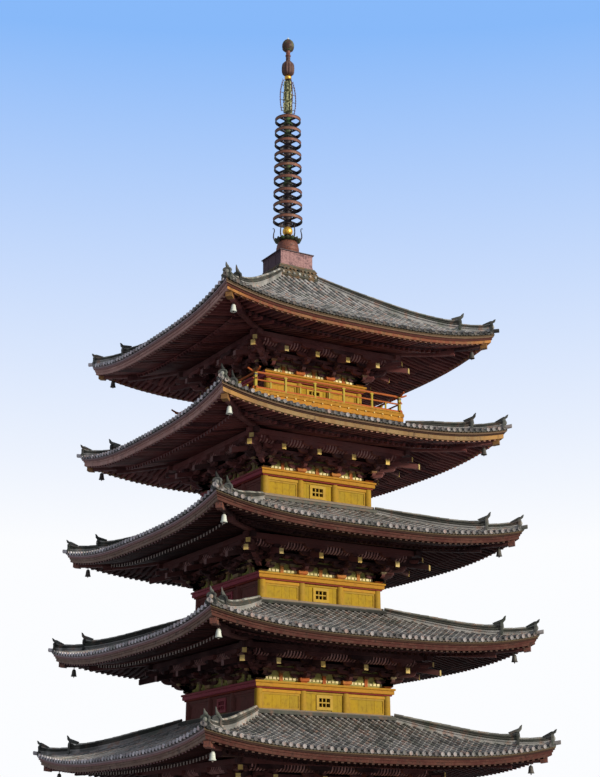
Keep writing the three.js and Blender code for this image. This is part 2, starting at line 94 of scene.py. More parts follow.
class Wire:
    # one socket of a material, which can be used in sums
    def __init__(self, finish, socket):
        self.finish, self.socket = finish, socket

    def sum(self, operation, first, second):
        return self.finish.add("ShaderNodeMath", {"operation": operation}, {0: first, 1: second})

    def __add__(self, other):
        return self.sum("ADD", self, other)

    def __radd__(self, other):
        return self.sum("ADD", other, self)

    def __sub__(self, other):
        return self.sum("SUBTRACT", self, other)

    def __rsub__(self, other):
        return self.sum("SUBTRACT", other, self)

    def __mul__(self, other):
        return self.sum("MULTIPLY", self, other)

    def __rmul__(self, other):
        return self.sum("MULTIPLY", other, self)


class Finish:
    # one material, built from nodes round its shader; bare pieces carry no tone or grain of their own
    def __init__(self, name, roughness=0.7, gloss=0.15):
        self.bare = name.startswith("bare")
        self.material = bpy.data.materials.new(name)
        self.material.use_nodes = True
        self.tree = self.material.node_tree
        self.shader = self.tree.nodes["Principled BSDF"]
        self.shader.inputs["Roughness"].default_value = roughness
        self.shader.inputs["Specular IOR Level"].default_value = gloss

    def feed(self, socket, value):
        if isinstance(value, Wire):
            self.tree.links.new(value.socket, socket)
        elif isinstance(value, tuple) and len(value) == 3 and socket.type == "RGBA":
            socket.default_value = (*value, 1)
        else:
            socket.default_value = value

    def add(self, kind, settings=(), sockets=(), output=0):
        made = self.tree.nodes.new(kind)
        for key, value in dict(settings).items():
            setattr(made, key, value)
        for key, value in dict(sockets).items():
            self.feed(made.inputs[key], value)
        return Wire(self, made.outputs[output])

    def own(self, name):
        # a number kept on the mesh, such as the tone of each tile
        if self.bare:
            return self.noise(0.9, 1)
        return self.add("ShaderNodeAttribute", {"attribute_name": name}, output="Fac")

    def place(self, stretch, byGrain=False):
        if byGrain and not self.bare:
            spot = self.add("ShaderNodeAttribute", {"attribute_name": "grain"}, output="Vector")
        else:
            spot = self.add("ShaderNodeTexCoord", output="Object")
        return self.add("ShaderNodeMapping", {}, {"Vector": spot, "Scale": stretch})

    def noise(self, scale, detail=3.0, rough=0.55, stretch=(1, 1, 1), byGrain=False):
        return self.add("ShaderNodeTexNoise", {}, {
            "Vector": self.place(stretch, byGrain), "Scale": scale, "Detail": detail, "Roughness": rough,
        })

    def spread(self, value, low, high, out=(0, 1)):
        # stretches a part of a value's range to fill the range given
        return self.add("ShaderNodeMapRange", {"interpolation_type": "SMOOTHSTEP"}, {
            "Value": value, "From Min": low, "From Max": high, "To Min": out[0], "To Max": out[1],
        })

    def nearCorner(self, start, end):
        # from nothing along the middle of a side to the whole at the tower's corners
        spot = self.add("ShaderNodeVectorMath", {"operation": "ABSOLUTE"},
                        {0: self.add("ShaderNodeTexCoord", output="Object")})
        across = self.add("ShaderNodeSeparateXYZ", {}, {0: spot})
        ahead = Wire(self, across.socket.node.outputs["Y"])
        return self.spread(across.sum("MINIMUM", across, ahead), start, end)

    def mix(self, first, second, share):
        return self.add("ShaderNodeMix", {"data_type": "RGBA"}, {0: share, 6: first, 7: second}, 2)

    def bump(self, height, strength, distance):
        return self.add("ShaderNodeBump", {}, {"Strength": strength, "Distance": distance, "Height": height})

    def wear(self, colour, roughness=None, metallic=None, normal=None):
        for name, value in (("Base Color", colour), ("Roughness", roughness), ("Metallic", metallic),
                            ("Normal", normal)):
            if value is not None:
                self.feed(self.shader.inputs[name], value)
        return self.material


def tileFinish(name, pale, deep, stain, moss, stainFrom=0.58):
    # smoked clay: each tile has its own tone, with stains and lichen over several tiles
    finish = Finish(name)
    tone = finish.own("tone")
    patch = finish.noise(1.1, 3)
    fine = finish.noise(26, 4, 0.7)
    body = finish.mix(deep, pale, finish.spread(tone * 0.55 + patch * 0.45 + fine * 0.35, 0.3, 0.95))
    body = finish.mix(body, moss, finish.spread(finish.noise(2.3, 4, 0.7), 0.5, 0.72, (0, 0.75)))
    stained = finish.spread(finish.noise(5.5, 3, 0.6) + tone * 0.12, stainFrom, stainFrom + 0.16, (0, 0.7))
    body = finish.mix(body, stain, stained)
    grit = finish.spread(finish.noise(90, 2, 0.6), 0.35, 0.7)
    body = finish.mix(body, (0.04, 0.04, 0.04), (1 - grit) * 0.28)
    rough = 0.62 + fine * 0.3
    return finish.wear(body, rough, normal=finish.bump(fine + grit * 0.4, 0.35, 0.006))


def timberFinish(name, pale, deep, grey, greyShare=0.35):
    # old timber with its grain along each member
    finish = Finish(name)
    tone = finish.own("tone")
    grain = finish.noise(5, 5, 0.65, (1.2, 16, 16), True)
    broad = finish.noise(1.6, 3)
    body = finish.mix(deep, pale, finish.spread(grain * 0.6 + tone * 0.35 + broad * 0.3, 0.4, 0.85))
    body = finish.mix(body, grey, finish.spread(broad + grain * 0.2, 0.5, 0.75, (0, greyShare)))
    return finish.wear(body, 0.55 + grain * 0.3, normal=finish.bump(grain, 0.3, 0.004))


def paintFinish(name, main, worn, dirt, wornShare=0.6, dirtShare=0.5, roughness=0.6):
    # painted timber, faded in patches, with the grain and dirt coming through
    finish = Finish(name)
    tone = finish.own("tone")
    grain = finish.noise(6, 4, 0.6, (1, 12, 12), True)
    fade = finish.noise(3.2, 4, 0.65)
    body = finish.mix(main, worn, finish.spread(fade * 0.8 + tone * 0.3, 0.42, 0.72, (0, wornShare)))
    soiled = grain * 0.7 + finish.noise(11, 3) * 0.5
    body = finish.mix(body, dirt, finish.spread(soiled, 0.56, 0.8, (0, dirtShare)))
    return finish.wear(body, roughness + grain * 0.25, normal=finish.bump(grain, 0.25, 0.004))


def bandFinish(name, main, pale, dark, corner=None):
    # weathered paint on the eave boards, changing every hand's breadth along them
    finish = Finish(name)
    stripe = finish.noise(3.4, 2, 0.5, (1, 0.05, 0.05), True)
    fade = finish.noise(1.4, 3, 0.6)
    grain = finish.noise(7, 4, 0.65, (1, 10, 10), True)
    body = finish.mix(main, pale, finish.spread(stripe * 0.7 + fade * 0.5, 0.5, 0.72))
    if corner:
        body = finish.mix(body, corner, finish.nearCorner(2.9, 3.7) * 0.9)
    body = finish.mix(body, dark, finish.spread(grain * 0.5 + stripe * 0.5, 0.5, 0.64, (0, 0.8)))
    return finish.wear(body, 0.6 + grain * 0.25, normal=finish.bump(grain, 0.3, 0.004))


def metalFinish(name, main, worn, patina, patinaFrom=0.5, metallic=0.75, roughness=0.45):
    # cast bronze, mottled with a worn tone in specks, with patina in patches
    finish = Finish(name, gloss=0.4)
    cloud = finish.noise(4, 4, 0.6)
    speck = finish.noise(24, 3, 0.7)
    green = finish.spread(cloud * 0.75 + speck * 0.3, patinaFrom, patinaFrom + 0.14)
    body = finish.mix(main, worn, finish.spread(speck, 0.4, 0.65))
    body = finish.mix(body, patina, green * 0.85)
    shine = metallic - green * metallic * 0.8
    return finish.wear(body, roughness + green * 0.3 + speck * 0.15, shine, finish.bump(speck, 0.25, 0.004))


def stoneFinish(name, pale, deep, moss):
    finish = Finish(name, 0.85)
    tone = finish.own("tone")
    cloud = finish.noise(2.2, 4, 0.6)
    speck = finish.noise(70, 3, 0.8)
    body = finish.mix(deep, pale, finish.spread(cloud * 0.5 + tone * 0.4 + speck * 0.35, 0.35, 0.95))
    body = finish.mix(body, moss, finish.spread(cloud + speck * 0.2, 0.62, 0.85, (0, 0.6)))
    return finish.wear(body, 0.75 + speck * 0.2, normal=finish.bump(speck + cloud * 0.5, 0.4, 0.006))


def bareBoards(name, pale, deep, grey):
    # planks that run across, with dark joints
    finish = Finish(name)
    grain = finish.noise(5, 5, 0.65, (1.2, 16, 16))
    broad = finish.noise(1.6, 3)
    body = finish.mix(deep, pale, finish.spread(grain * 0.7 + broad * 0.4, 0.35, 0.8))
    body = finish.mix(body, grey, finish.spread(broad, 0.5, 0.75, (0, 0.4)))
    joints = finish.add("ShaderNodeTexWave", {"wave_type": "BANDS", "bands_direction": "X"},
                        {"Vector": finish.place((1, 1, 1)), "Scale": 3.2, "Distortion": 0.0})
    seam = finish.spread(joints, 0.0, 0.05)
    body = finish.mix((0.02, 0.012, 0.01), body, seam)
    return finish.wear(body, 0.6 + grain * 0.3, normal=finish.bump(seam + grain * 0.15, 0.5, 0.006))


# pale, deep, stained and mossy colours, and where the stains start
clays = {
    "tile": ((0.5, 0.48, 0.45), (0.15, 0.15, 0.14), (0.44, 0.26, 0.19), (0.2, 0.22, 0.17)),
    "tileEnd": ((0.39, 0.36, 0.35), (0.07, 0.065, 0.065), (0.34, 0.22, 0.18), (0.13, 0.14, 0.11)),
    # end discs of the top roof, painted dark for the shade on their faces
    "darkTileEnd": ((0.14, 0.13, 0.12), (0.03, 0.028, 0.027), (0.15, 0.1, 0.08), (0.06, 0.06, 0.05)),
    "ridge": ((0.125, 0.125, 0.105), (0.02, 0.02, 0.017), (0.17, 0.105, 0.075), (0.055, 0.07, 0.048)),
    "cap": ((0.46, 0.45, 0.4), (0.12, 0.12, 0.11), (0.38, 0.25, 0.18), (0.2, 0.23, 0.16)),
    "horn": ((0.13, 0.135, 0.12), (0.02, 0.022, 0.02), (0.13, 0.09, 0.07), (0.06, 0.075, 0.05)),
    # pan tiles at the eave, painted dark for the shadow that the round tiles cast on them
    "gap": ((0.1, 0.1, 0.09), (0.02, 0.02, 0.02), (0.1, 0.07, 0.05), (0.05, 0.06, 0.04)),
    "collar": ((0.12, 0.12, 0.09), (0.015, 0.015, 0.012), (0.2, 0.11, 0.05), (0.09, 0.11, 0.05), 0.5),
    # end discs for the left side, painted pale for the sky light on that shaded side
    "leeTileEnd": ((0.8, 0.76, 0.78), (0.26, 0.24, 0.25), (0.52, 0.36, 0.34), (0.36, 0.38, 0.33)),
}
# pale, deep and grey colours, and the share of grey
timbers = {
    "rafter": ((0.2, 0.055, 0.048), (0.05, 0.014, 0.016), (0.15, 0.068, 0.06)),
    "soffit": ((0.16, 0.042, 0.041), (0.045, 0.013, 0.0145), (0.13, 0.058, 0.055)),
    "darkTimber": ((0.22, 0.07, 0.062), (0.036, 0.014, 0.016), (0.19, 0.11, 0.1)),
    "bracketBlock": ((0.33, 0.17, 0.075), (0.07, 0.035, 0.022), (0.26, 0.23, 0.13), 0.6),
    "rib": ((0.44, 0.22, 0.2), (0.17, 0.075, 0.07), (0.3, 0.2, 0.18)),
    "doorTimber": ((0.34, 0.19, 0.09), (0.1, 0.05, 0.03), (0.26, 0.22, 0.17)),
    # copies of the timbers above, painted darker for the deep shade under the lower eaves
    "deepRafter": ((0.055, 0.015, 0.013), (0.015, 0.005, 0.005), (0.045, 0.02, 0.018)),
    "deepSoffit": ((0.045, 0.012, 0.011), (0.013, 0.004, 0.004), (0.04, 0.018, 0.016)),
    "deepTimber": ((0.13, 0.042, 0.037), (0.02, 0.008, 0.009), (0.11, 0.062, 0.056)),
    "deepRib": ((0.44, 0.22, 0.2), (0.16, 0.07, 0.065), (0.3, 0.2, 0.18)),
    "bareTimber": ((0.17, 0.09, 0.06), (0.05, 0.026, 0.02), (0.14, 0.11, 0.09)),
}
# colours of the paint, where it is worn and dirty, shares of both, and roughness
paints = {
    "board": ((0.07, 0.045, 0.025), (0.1, 0.07, 0.035), (0.02, 0.012, 0.01)),
    "redBoard": ((0.06, 0.014, 0.01), (0.09, 0.024, 0.014), (0.02, 0.008, 0.007)),
    "rafterEnd": ((0.28, 0.145, 0.09), (0.24, 0.11, 0.07), (0.08, 0.035, 0.025)),
    "tailEnd": ((0.78, 0.53, 0.15), (0.6, 0.48, 0.22), (0.22, 0.12, 0.05), 0.7, 0.6),
    "plaster": ((0.37, 0.34, 0.1), (0.25, 0.25, 0.075), (0.12, 0.08, 0.03), 0.6, 0.6, 0.75),
    "lintel": ((0.4, 0.185, 0.016), (0.38, 0.225, 0.024), (0.17, 0.06, 0.015), 0.6, 0.5),
    "headBoard": ((0.44, 0.225, 0.02), (0.4, 0.26, 0.03), (0.2, 0.08, 0.02), 0.6, 0.5),
    "post": ((0.37, 0.215, 0.018), (0.32, 0.21, 0.035), (0.17, 0.08, 0.018), 0.6, 0.6),
    # line under the lintel: red paint, darkened for the shadow the lintel casts
    "redLine": ((0.18, 0.02, 0.015), (0.24, 0.05, 0.02), (0.06, 0.015, 0.015), 0.5, 0.5),
    "sill": ((0.24, 0.18, 0.13), (0.2, 0.17, 0.13), (0.1, 0.07, 0.05), 0.6, 0.5),
    "wall": ((0.37, 0.23, 0.01), (0.29, 0.2, 0.018), (0.16, 0.08, 0.012), 0.6, 0.65),
    "frame": ((0.46, 0.28, 0.03), (0.4, 0.28, 0.06), (0.18, 0.08, 0.03), 0.6, 0.45),
    "deckEdge": ((0.37, 0.17, 0.015), (0.36, 0.22, 0.035), (0.14, 0.045, 0.015), 0.6, 0.6),
    "deckBeam": ((0.46, 0.155, 0.012), (0.4, 0.22, 0.025), (0.15, 0.045, 0.015), 0.6, 0.6),
    "rail": ((0.42, 0.095, 0.025), (0.4, 0.125, 0.035), (0.14, 0.032, 0.02), 0.6, 0.5),
    "railPost": ((0.42, 0.32, 0.04), (0.36, 0.28, 0.07), (0.18, 0.1, 0.03), 0.6, 0.45),
    "seatLine": ((0.14, 0.085, 0.05), (0.175, 0.115, 0.07), (0.06, 0.035, 0.025)),
    # copies for the left side, lightened or darkened and greyed as painted shade and sky light on that side
    "leeSeat": ((0.4, 0.31, 0.32), (0.34, 0.26, 0.27), (0.16, 0.11, 0.115)),
    "leeLine": ((0.26, 0.15, 0.14), (0.22, 0.125, 0.115), (0.1, 0.06, 0.055)),
    "leeTip": ((0.4, 0.34, 0.3), (0.32, 0.26, 0.22), (0.15, 0.105, 0.09)),
    "leeEnd": ((0.24, 0.13, 0.13), (0.18, 0.1, 0.1), (0.09, 0.05, 0.05)),
    # wall and lintel colours for the left side, painted dark maroon for the shade on that side
    "leeWall": ((0.17, 0.055, 0.045), (0.14, 0.06, 0.045), (0.07, 0.03, 0.025), 0.6, 0.6),
    "leeLintel": ((0.36, 0.07, 0.09), (0.28, 0.09, 0.08), (0.12, 0.03, 0.04), 0.6, 0.5),
    "darkEnd": ((0.07, 0.035, 0.024), (0.05, 0.025, 0.017), (0.025, 0.012, 0.009)),
    "blackLine": ((0.03, 0.01, 0.006), (0.045, 0.017, 0.008), (0.01, 0.005, 0.004)),
    # orange for the lowest bracket blocks and struts, painted as sunlit; the left side takes the plain block
    # colour
    "footPaint": ((0.4, 0.1, 0.025), (0.42, 0.22, 0.05), (0.1, 0.03, 0.015), 0.6, 0.6),
    # pale spots painted for the sunlight that reaches the foot of the plaster under the eaves
    "cream": ((0.86, 0.74, 0.4), (0.66, 0.55, 0.22), (0.26, 0.16, 0.06), 0.6, 0.4),
    "bareWall": ((0.3, 0.21, 0.05), (0.24, 0.19, 0.07), (0.12, 0.08, 0.03)),
}
# colours of the paint, where it is pale and dark, and at the corners
eavePaints = {
    "fascia": ((0.18, 0.052, 0.027), (0.24, 0.118, 0.052), (0.05, 0.018, 0.013), (0.42, 0.19, 0.05)),
    "tanFascia": ((0.21, 0.118, 0.048), (0.27, 0.178, 0.08), (0.07, 0.03, 0.018), (0.38, 0.2, 0.06)),
    "redFascia": ((0.055, 0.013, 0.009), (0.09, 0.032, 0.021), (0.015, 0.006, 0.005)),
    # eave boards for the left side, painted paler and greyer for the shade and sky light on that side
    "leeFascia": ((0.34, 0.185, 0.155), (0.46, 0.28, 0.235), (0.13, 0.065, 0.06)),
    "leeDeep": ((0.18, 0.115, 0.085), (0.26, 0.18, 0.14), (0.05, 0.03, 0.025)),
}
# colours of the metal, worn and with patina, where patina starts, metallic and roughness
metals = {
    "shoe": ((0.26, 0.13, 0.035), (0.18, 0.08, 0.03), (0.14, 0.09, 0.04), 0.6, 0.1, 0.6),
    "iron": ((0.05, 0.045, 0.045), (0.09, 0.07, 0.06), (0.16, 0.08, 0.05), 0.56, 0.6, 0.5),
    "bronze": ((0.2, 0.07, 0.045), (0.09, 0.04, 0.032), (0.08, 0.09, 0.065), 0.58, 0.2, 0.5),
    "ringBronze": ((0.22, 0.08, 0.045), (0.1, 0.045, 0.035), (0.24, 0.16, 0.08), 0.56, 0.2, 0.5),
    "darkBronze": ((0.022, 0.016, 0.02), (0.04, 0.022, 0.02), (0.035, 0.04, 0.035), 0.6, 0.2, 0.5),
    "flameBronze": ((0.5, 0.49, 0.24), (0.12, 0.1, 0.045), (0.06, 0.08, 0.045), 0.47, 0.1, 0.55),
    "patina": ((0.05, 0.055, 0.028), (0.03, 0.025, 0.018), (0.08, 0.15, 0.05), 0.5, 0.2, 0.5),
    "gold": ((0.9, 0.56, 0.09), (0.62, 0.26, 0.05), (0.34, 0.2, 0.07), 0.6, 0.8, 0.35),
    "basin": ((0.29, 0.155, 0.148), (0.2, 0.1, 0.1), (0.13, 0.08, 0.085), 0.52, 0.1, 0.6),
    "basinLip": ((0.05, 0.03, 0.035), (0.035, 0.02, 0.025), (0.05, 0.04, 0.04), 0.6, 0.2, 0.5),
    "wheelBronze": ((0.11, 0.048, 0.038), (0.05, 0.028, 0.024), (0.16, 0.1, 0.08), 0.56, 0.2, 0.5),
    "jewelBronze": ((0.085, 0.038, 0.026), (0.025, 0.02, 0.016), (0.14, 0.17, 0.085), 0.55, 0.2, 0.5),
    # left face of the basin, painted dark for the shade on that side
    "leeBasin": ((0.075, 0.038, 0.05), (0.05, 0.026, 0.036), (0.05, 0.034, 0.042), 0.55, 0.1, 0.6),
    # bells at the other corners, painted dark for the shade they hang in
    "darkBell": ((0.11, 0.1, 0.085), (0.05, 0.045, 0.04), (0.17, 0.2, 0.15), 0.6, 0.2, 0.5),
    "bell": ((0.66, 0.68, 0.6), (0.52, 0.56, 0.48), (0.3, 0.36, 0.28), 0.58, 0.1, 0.6),
}
# pale, deep and mossy colours
stones = {
    "stone": ((0.5, 0.48, 0.42), (0.27, 0.25, 0.22), (0.17, 0.19, 0.12)),
    "stoneCore": ((0.2, 0.19, 0.17), (0.12, 0.11, 0.1), (0.09, 0.1, 0.07)),
}
finishes = {"bareFloor": bareBoards("bareFloor", (0.3, 0.19, 0.1), (0.11, 0.06, 0.035), (0.22, 0.19, 0.15))}
for makeFinish, table in ((tileFinish, clays), (timberFinish, timbers), (paintFinish, paints),
                          (bandFinish, eavePaints), (metalFinish, metals), (stoneFinish, stones)):
    for look, values in table.items():
        finishes[look] = makeFinish(look, *values)
print("pagoda: finishes made")


@functools.lru_cache(maxsize=None)
def ringFaces(rings, sides, closed):
    # four-cornered faces between rings of points
    span = sides if closed else sides - 1
    return [
        (row * sides + col, row * sides + (col + 1) % sides, (row + 1) * sides + (col + 1) % sides,
         (row + 1) * sides + col)
        for row in range(rings - 1) for col in range(span)
    ]


class Shape:
    # gathers the faces of one piece, in metres of the full-size tower
    def __init__(self):
        self.points, self.grain, self.tones, self.faces, self.looks = [], [], [], [], []
        self.count = 0

    def add(self, points, grain, tones, faces, looks):
        self.points.append(points)
        self.grain.append(grain)
        self.tones.append(tones)
        self.faces += [tuple(corner + self.count for corner in face) for face in faces]
        self.looks += looks
        self.count += len(points)

    def rings(self, rings, look=0, tone=None, ends=(True, True), endLook=None, closed=True):
        # rings of points joined in order; the grain runs from the first ring to the last
        rings = np.asarray(rings, float)
        count, sides = rings.shape[:2]
        middles = rings.mean(axis=1)
        along = np.append(0, np.cumsum(np.linalg.norm(np.diff(middles, axis=0), axis=1)))
        first = unit(rings[0, 0] - middles[0])
        second = unit(np.cross(middles[-1] - middles[0], first))
        offsets = rings - middles[:, None]
        along = np.broadcast_to(along[:, None], (count, sides))
        grain = np.stack([along, offsets @ first, offsets @ second], axis=-1) + chance.random(3) * 9
        tone = chance.random() if tone is None else tone
        tones = np.repeat(tone, sides) if np.ndim(tone) else np.full(count * sides, tone)
        faces = list(ringFaces(count, sides, closed))
        looks = [look] * len(faces) if np.ndim(look) == 0 else list(np.tile(look, count - 1))
        lids = tuple(range(sides))[::-1], tuple(range((count - 1) * sides, count * sides))
        for lid, wanted in zip(lids, ends):
            if wanted:
                faces.append(lid)
                looks.append(looks[-1] if endLook is None else endLook)
        self.add(rings.reshape(-1, 3), grain.reshape(-1, 3), tones, faces, looks)

    def beam(self, start, end, width, height, look=0, ease=0.0):
        # straight timber between two points, its long edges eased
        start, end = np.array(start, float), np.array(end, float)
        along = unit(end - start)
        upward = (0, 0, 1) if abs(along[2]) < 0.9 else (0, 1, 0)
        across = unit(np.cross(along, upward))
        rise = np.cross(across, along)
        outline = outlineOf(width, height, ease)
        ring = outline[:, :1] * across + outline[:, 1:] * rise
        self.rings([start + ring, end + ring], look)

    def box(self, low, high, look=0, ease=0.0):
        low, high = np.array(low, float), np.array(high, float)
        size = high - low
        long = int(np.argmax(size))
        start, end = (low + high) / 2, (low + high) / 2
        start[long], end[long] = low[long], high[long]
        width, height = (size[0], size[1]) if long == 2 else (size[1 - long], size[2])
        self.beam(start, end, width, height, look, ease)

    def board(self, across, out, levels, look=0, ease=0.0):
        # box on the front side, from one value to the next across, out from the axis and up
        self.box((across[0], -out[0], levels[0]), (across[1], -out[1], levels[1]), look, ease)

    def turned(self, profile, sides, middle=(0, 0), look=0, ends=(True, True), tone=None):
        # profile of (radius, height) turned about an upright line
        around = np.stack(circle(sides), axis=-1)
        rings = [
            np.column_stack([around * radius + middle, np.full(sides, height)]) for radius, height in profile
        ]
        self.rings(rings, look, tone, ends)

    def stud(self, across, out, level, steps, sides, look, tone, ends=(True, True)):
        # round piece that faces the front; steps are (how far it stands out, radius)
        cos, sin = circle(sides)
        rings = [
            np.column_stack([across + radius * cos, np.full(sides, -out - proud), level + radius * sin])
            for proud, radius in steps
        ]
        self.rings(rings, look, tone, ends)

    def bar(self, path, aside, radii, look, sides, tone=None, ends=(True, True)):
        # round bar along a path in an upright plane; aside is the direction across that plane
        cos, sin = circle(sides)
        rings = [
            point + radius * (cos[:, None] * aside + sin[:, None] * np.cross(heading, aside))
            for point, heading, radius in zip(path, headings(path), radii)
        ]
        self.rings(rings, look, tone, ends)

    def mitred(self, section, look=0, tone=None):
        # one side of a square ring, with that section of (distance from the axis, height)
        self.rings([[(side * out, -out, height) for out, height in section] for side in (-1, 1)], look, tone)

    def band(self, outer, inner, low, high, look=0, ease=0.0):
        # the same for a timber with its outer edges eased
        section = corners(outer, inner, low, high)
        if ease:
            section[:1] = (outer, low + ease), (outer - ease, low)
            section[-1:] = (outer - ease, high), (outer, high - ease)
        self.mitred(section, look)

    def around(self, shadeSideLooks=()):
        # the same again on the other three sides; the pairs given swap each look on the left side for a copy
        # painted for the shade and sky light there
        shadeSideLooks = dict(shadeSideLooks)
        points, grain, tones = (np.concatenate(parts) for parts in (self.points, self.grain, self.tones))
        faces, looks = list(self.faces), list(self.looks)
        for turn in (1, 2, 3):
            changed = [shadeSideLooks.get(look, look) for look in looks] if turn == 3 else looks
            fresh = (tones + turn * 0.29) % 1
            self.add(quarterTurned(points, turn), grain + turn * 3.7, fresh, faces, changed)

    def turnBy(self, quarters):
        self.points = [quarterTurned(part, quarters) for part in self.points]


def circle(sides):
    turns = np.arange(sides) / sides * 2 * math.pi
    return np.cos(turns), np.sin(turns)


def unit(vector):
    return vector / (np.linalg.norm(vector) + 1e-9)


def headings(path):
    # directions of a path at its points
    path = np.array(path, float)
    steps = np.vstack([path[1:], path[-1:]]) - np.vstack([path[:1], path[:-1]])
    return steps / np.linalg.norm(steps, axis=1)[:, None]


def quarterTurned(points, turns):
    cos, sin = round(math.cos(turns * math.pi / 2)), round(math.sin(turns * math.pi / 2))
    x, y, z = points.T
    return np.stack([x * cos - y * sin, x * sin + y * cos, z], axis=-1)


def about(middle, half):
    return middle - half, middle + half


def corners(left, right, low, high):
    return [(left, low), (right, low), (right, high), (left, high)]


def hoop(shape, middle, radius, thick, sides, stops):
    # iron ring that stands upright and faces the front
    cos, sin = circle(sides)
    rings = []
    for turn in np.linspace(0, 2 * math.pi, stops):
        outward = np.array([math.cos(turn), 0, math.sin(turn)])
        section = cos[:, None] * outward + sin[:, None] * np.array([0, 1, 0])
        rings.append(np.array(middle) + outward * radius + thick * section)
    shape.rings(rings, 1, 0.5, (False, False))


def outlineOf(width, height, ease):
    wide, high = width / 2, height / 2
    if ease <= 0:
        return np.array(corners(-wide, wide, -high, high))
    return np.array([
        (-wide + ease, -high), (wide - ease, -high), (wide, -high + ease), (wide, high - ease),
        (wide - ease, high), (-wide + ease, high), (-wide, high - ease), (-wide, -high + ease),
    ])


def makePiece(name, shape, looks, replaced=(), sharp=35):
    mesh = bpy.data.meshes.new(name)
    mesh.from_pydata((np.concatenate(shape.points) * tower["modelScale"]).tolist(), [], shape.faces)
    tones, grain = np.concatenate(shape.tones), np.concatenate(shape.grain).ravel()
    mesh.attributes.new("tone", "FLOAT", "POINT").data.foreach_set("value", tones)
    mesh.attributes.new("grain", "FLOAT_VECTOR", "POINT").data.foreach_set("vector", grain)
    mesh.polygons.foreach_set("material_index", shape.looks)
    for look in looks:
        mesh.materials.append(finishes[look])
    work = bmesh.new()
    work.from_mesh(mesh)
    bmesh.ops.recalc_face_normals(work, faces=work.faces)
    work.to_mesh(mesh)
    work.free()
    mesh.shade_smooth()
    mesh.set_sharp_from_angle(angle=math.radians(sharp))
    piece = bpy.data.objects.new(name, mesh)
    scene.collection.objects.link(piece)
    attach(piece, "root")
    if replaced:
        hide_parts(*replaced)


def fade(inset, power):
    return np.maximum(0.0, 1 - np.asarray(inset, float) / tower["liftReach"]) ** power


def cornerOut(storey, inset, power):
    # distance from the axis to a corner, so far in from the edge
    return tower["eaveHalves"][storey] - inset + tower["cornerFlare"] * fade(inset, power)


def sidePoints(storey, across, inset, height, power):
    # points on the front side, so far across and in from the edge, lifted and drawn out towards the corners
    across, inset, height = np.broadcast_arrays(np.asarray(across, float), inset, height)
    share = np.minimum(np.abs(across) / cornerOut(storey, inset, power), 1.0) ** tower["cornerPower"]
    rise = fade(inset, power) * share
    out = tower["eaveHalves"][storey] - inset + tower["cornerFlare"] * rise
    return np.stack([across, -out, height + tower["cornerLift"] * rise], axis=-1)


def hipPoints(storey, inset, sideways, height, power):
    # points along the near left corner's line, sideways at right angles to it in plan
    out = cornerOut(storey, inset, power)
    aside = np.asarray(sideways, float) / math.sqrt(2)
    level = height + tower["cornerLift"] * fade(inset, power)
    return np.stack(np.broadcast_arrays(-out + aside, -out - aside, level), axis=-1)


def alongEave(shape, storey, section, look, tone, points, power, stops=19):
    # a board with that section of (inset, height), which follows the eave up into its corners
    inset, height = np.array(section, float).T
    reach = cornerOut(storey, inset, power)
    turns = np.linspace(-1, 1, stops) * math.pi / 2
    rings = [points(storey, math.sin(turn) * reach, inset, height) for turn in turns]
    shape.rings(rings, look, tone, (False, False))


roofs = {
    "lower": (0.285, 0.0145),    # slope at the edge, and how fast it steepens
    "balcony": (0.27, 0.008),
    "upper": (0.5, 0.025),
    "edgeThickness": 0.2,
    "bedThickness": 0.2,
    "bedInset": 0.06,            # from the tile edge
    "bedDrop": 0.2,              # its top under the tiled surface
    "bedShares": (0.12, 1, 1, 1, 1, 1, 1, 0.6),
    "wallGap": 0.25,
    "collarHalf": 1.16,
}


def roofSlope(storey):
    return roofs["upper" if storey == topStorey else "balcony" if storey == topStorey - 1 else "lower"]


def roofInner(storey):
    return roofs["collarHalf"] if storey == topStorey else tower["postHalves"][storey + 1] + roofs["wallGap"]


def tileLevel(storey, inset):
    # height of the tiled surface along the middle of a side
    slope, steepen = roofSlope(storey)
    return tower["eaveHeights"][storey] + roofs["edgeThickness"] + slope * inset + steepen * inset ** 2


def roofPoints(storey, across, inset, above):
    inset = np.asarray(inset, float)
    return sidePoints(storey, across, inset, tileLevel(storey, inset) + above, tower["roofFade"])


def ridgePoints(storey, inset, sideways, above):
    inset = np.asarray(inset, float)
    return hipPoints(storey, inset, sideways, tileLevel(storey, inset) + above, tower["roofFade"])


tiles = {
    "pitch": 0.335,          # between the rows of round tiles
    "roundRadius": 0.088,
    "taper": 0.84,           # upper end of a round tile
    "roundLength": 0.36,
    "panLength": 0.3,
    "panStep": 0.026,        # how far each pan stands on the one below it
    "panDip": 0.045,
    "panDrop": 0.02,         # edges of the pans under the middle of the round tiles
    "overhang": 0.03,
    "axisDrop": 0.115,       # middle of the round tiles under the tiled surface
    "discRadius": 0.098,
}


def rowEnd(storey, across):
    # how far in a row runs before it goes under the hip ridge or meets the wall
    insets = np.linspace(0, tower["eaveHalves"][storey] - roofInner(storey), 300)
    inside = insets[cornerOut(storey, insets, tower["roofFade"]) - 0.1 > abs(across)]
    return inside[-1] if len(inside) else 0.0


def stepsOf(start, end, length):
    stops = np.arange(start, end, length)
    if end - stops[-1] < length * 0.35:
        stops = stops[:-1]
    return np.append(stops, end)


def roundRow(shape, storey, across, end):
    stops = stepsOf(-tiles["overhang"], end, tiles["roundLength"])
    count = len(stops) - 1
    insets = np.repeat(stops, 2)[1:-1, None]
    radii = np.tile([tiles["roundRadius"], tiles["roundRadius"] * tiles["taper"]], count)[:, None]
    turns = np.linspace(-0.12, math.pi + 0.12, 6)
    above = radii * np.sin(turns) - tiles["axisDrop"]
    points = roofPoints(storey, across + radii * np.cos(turns), insets, above)
    shape.rings(points, 0, np.repeat(chance.random(count), 2), (False, False), closed=False)


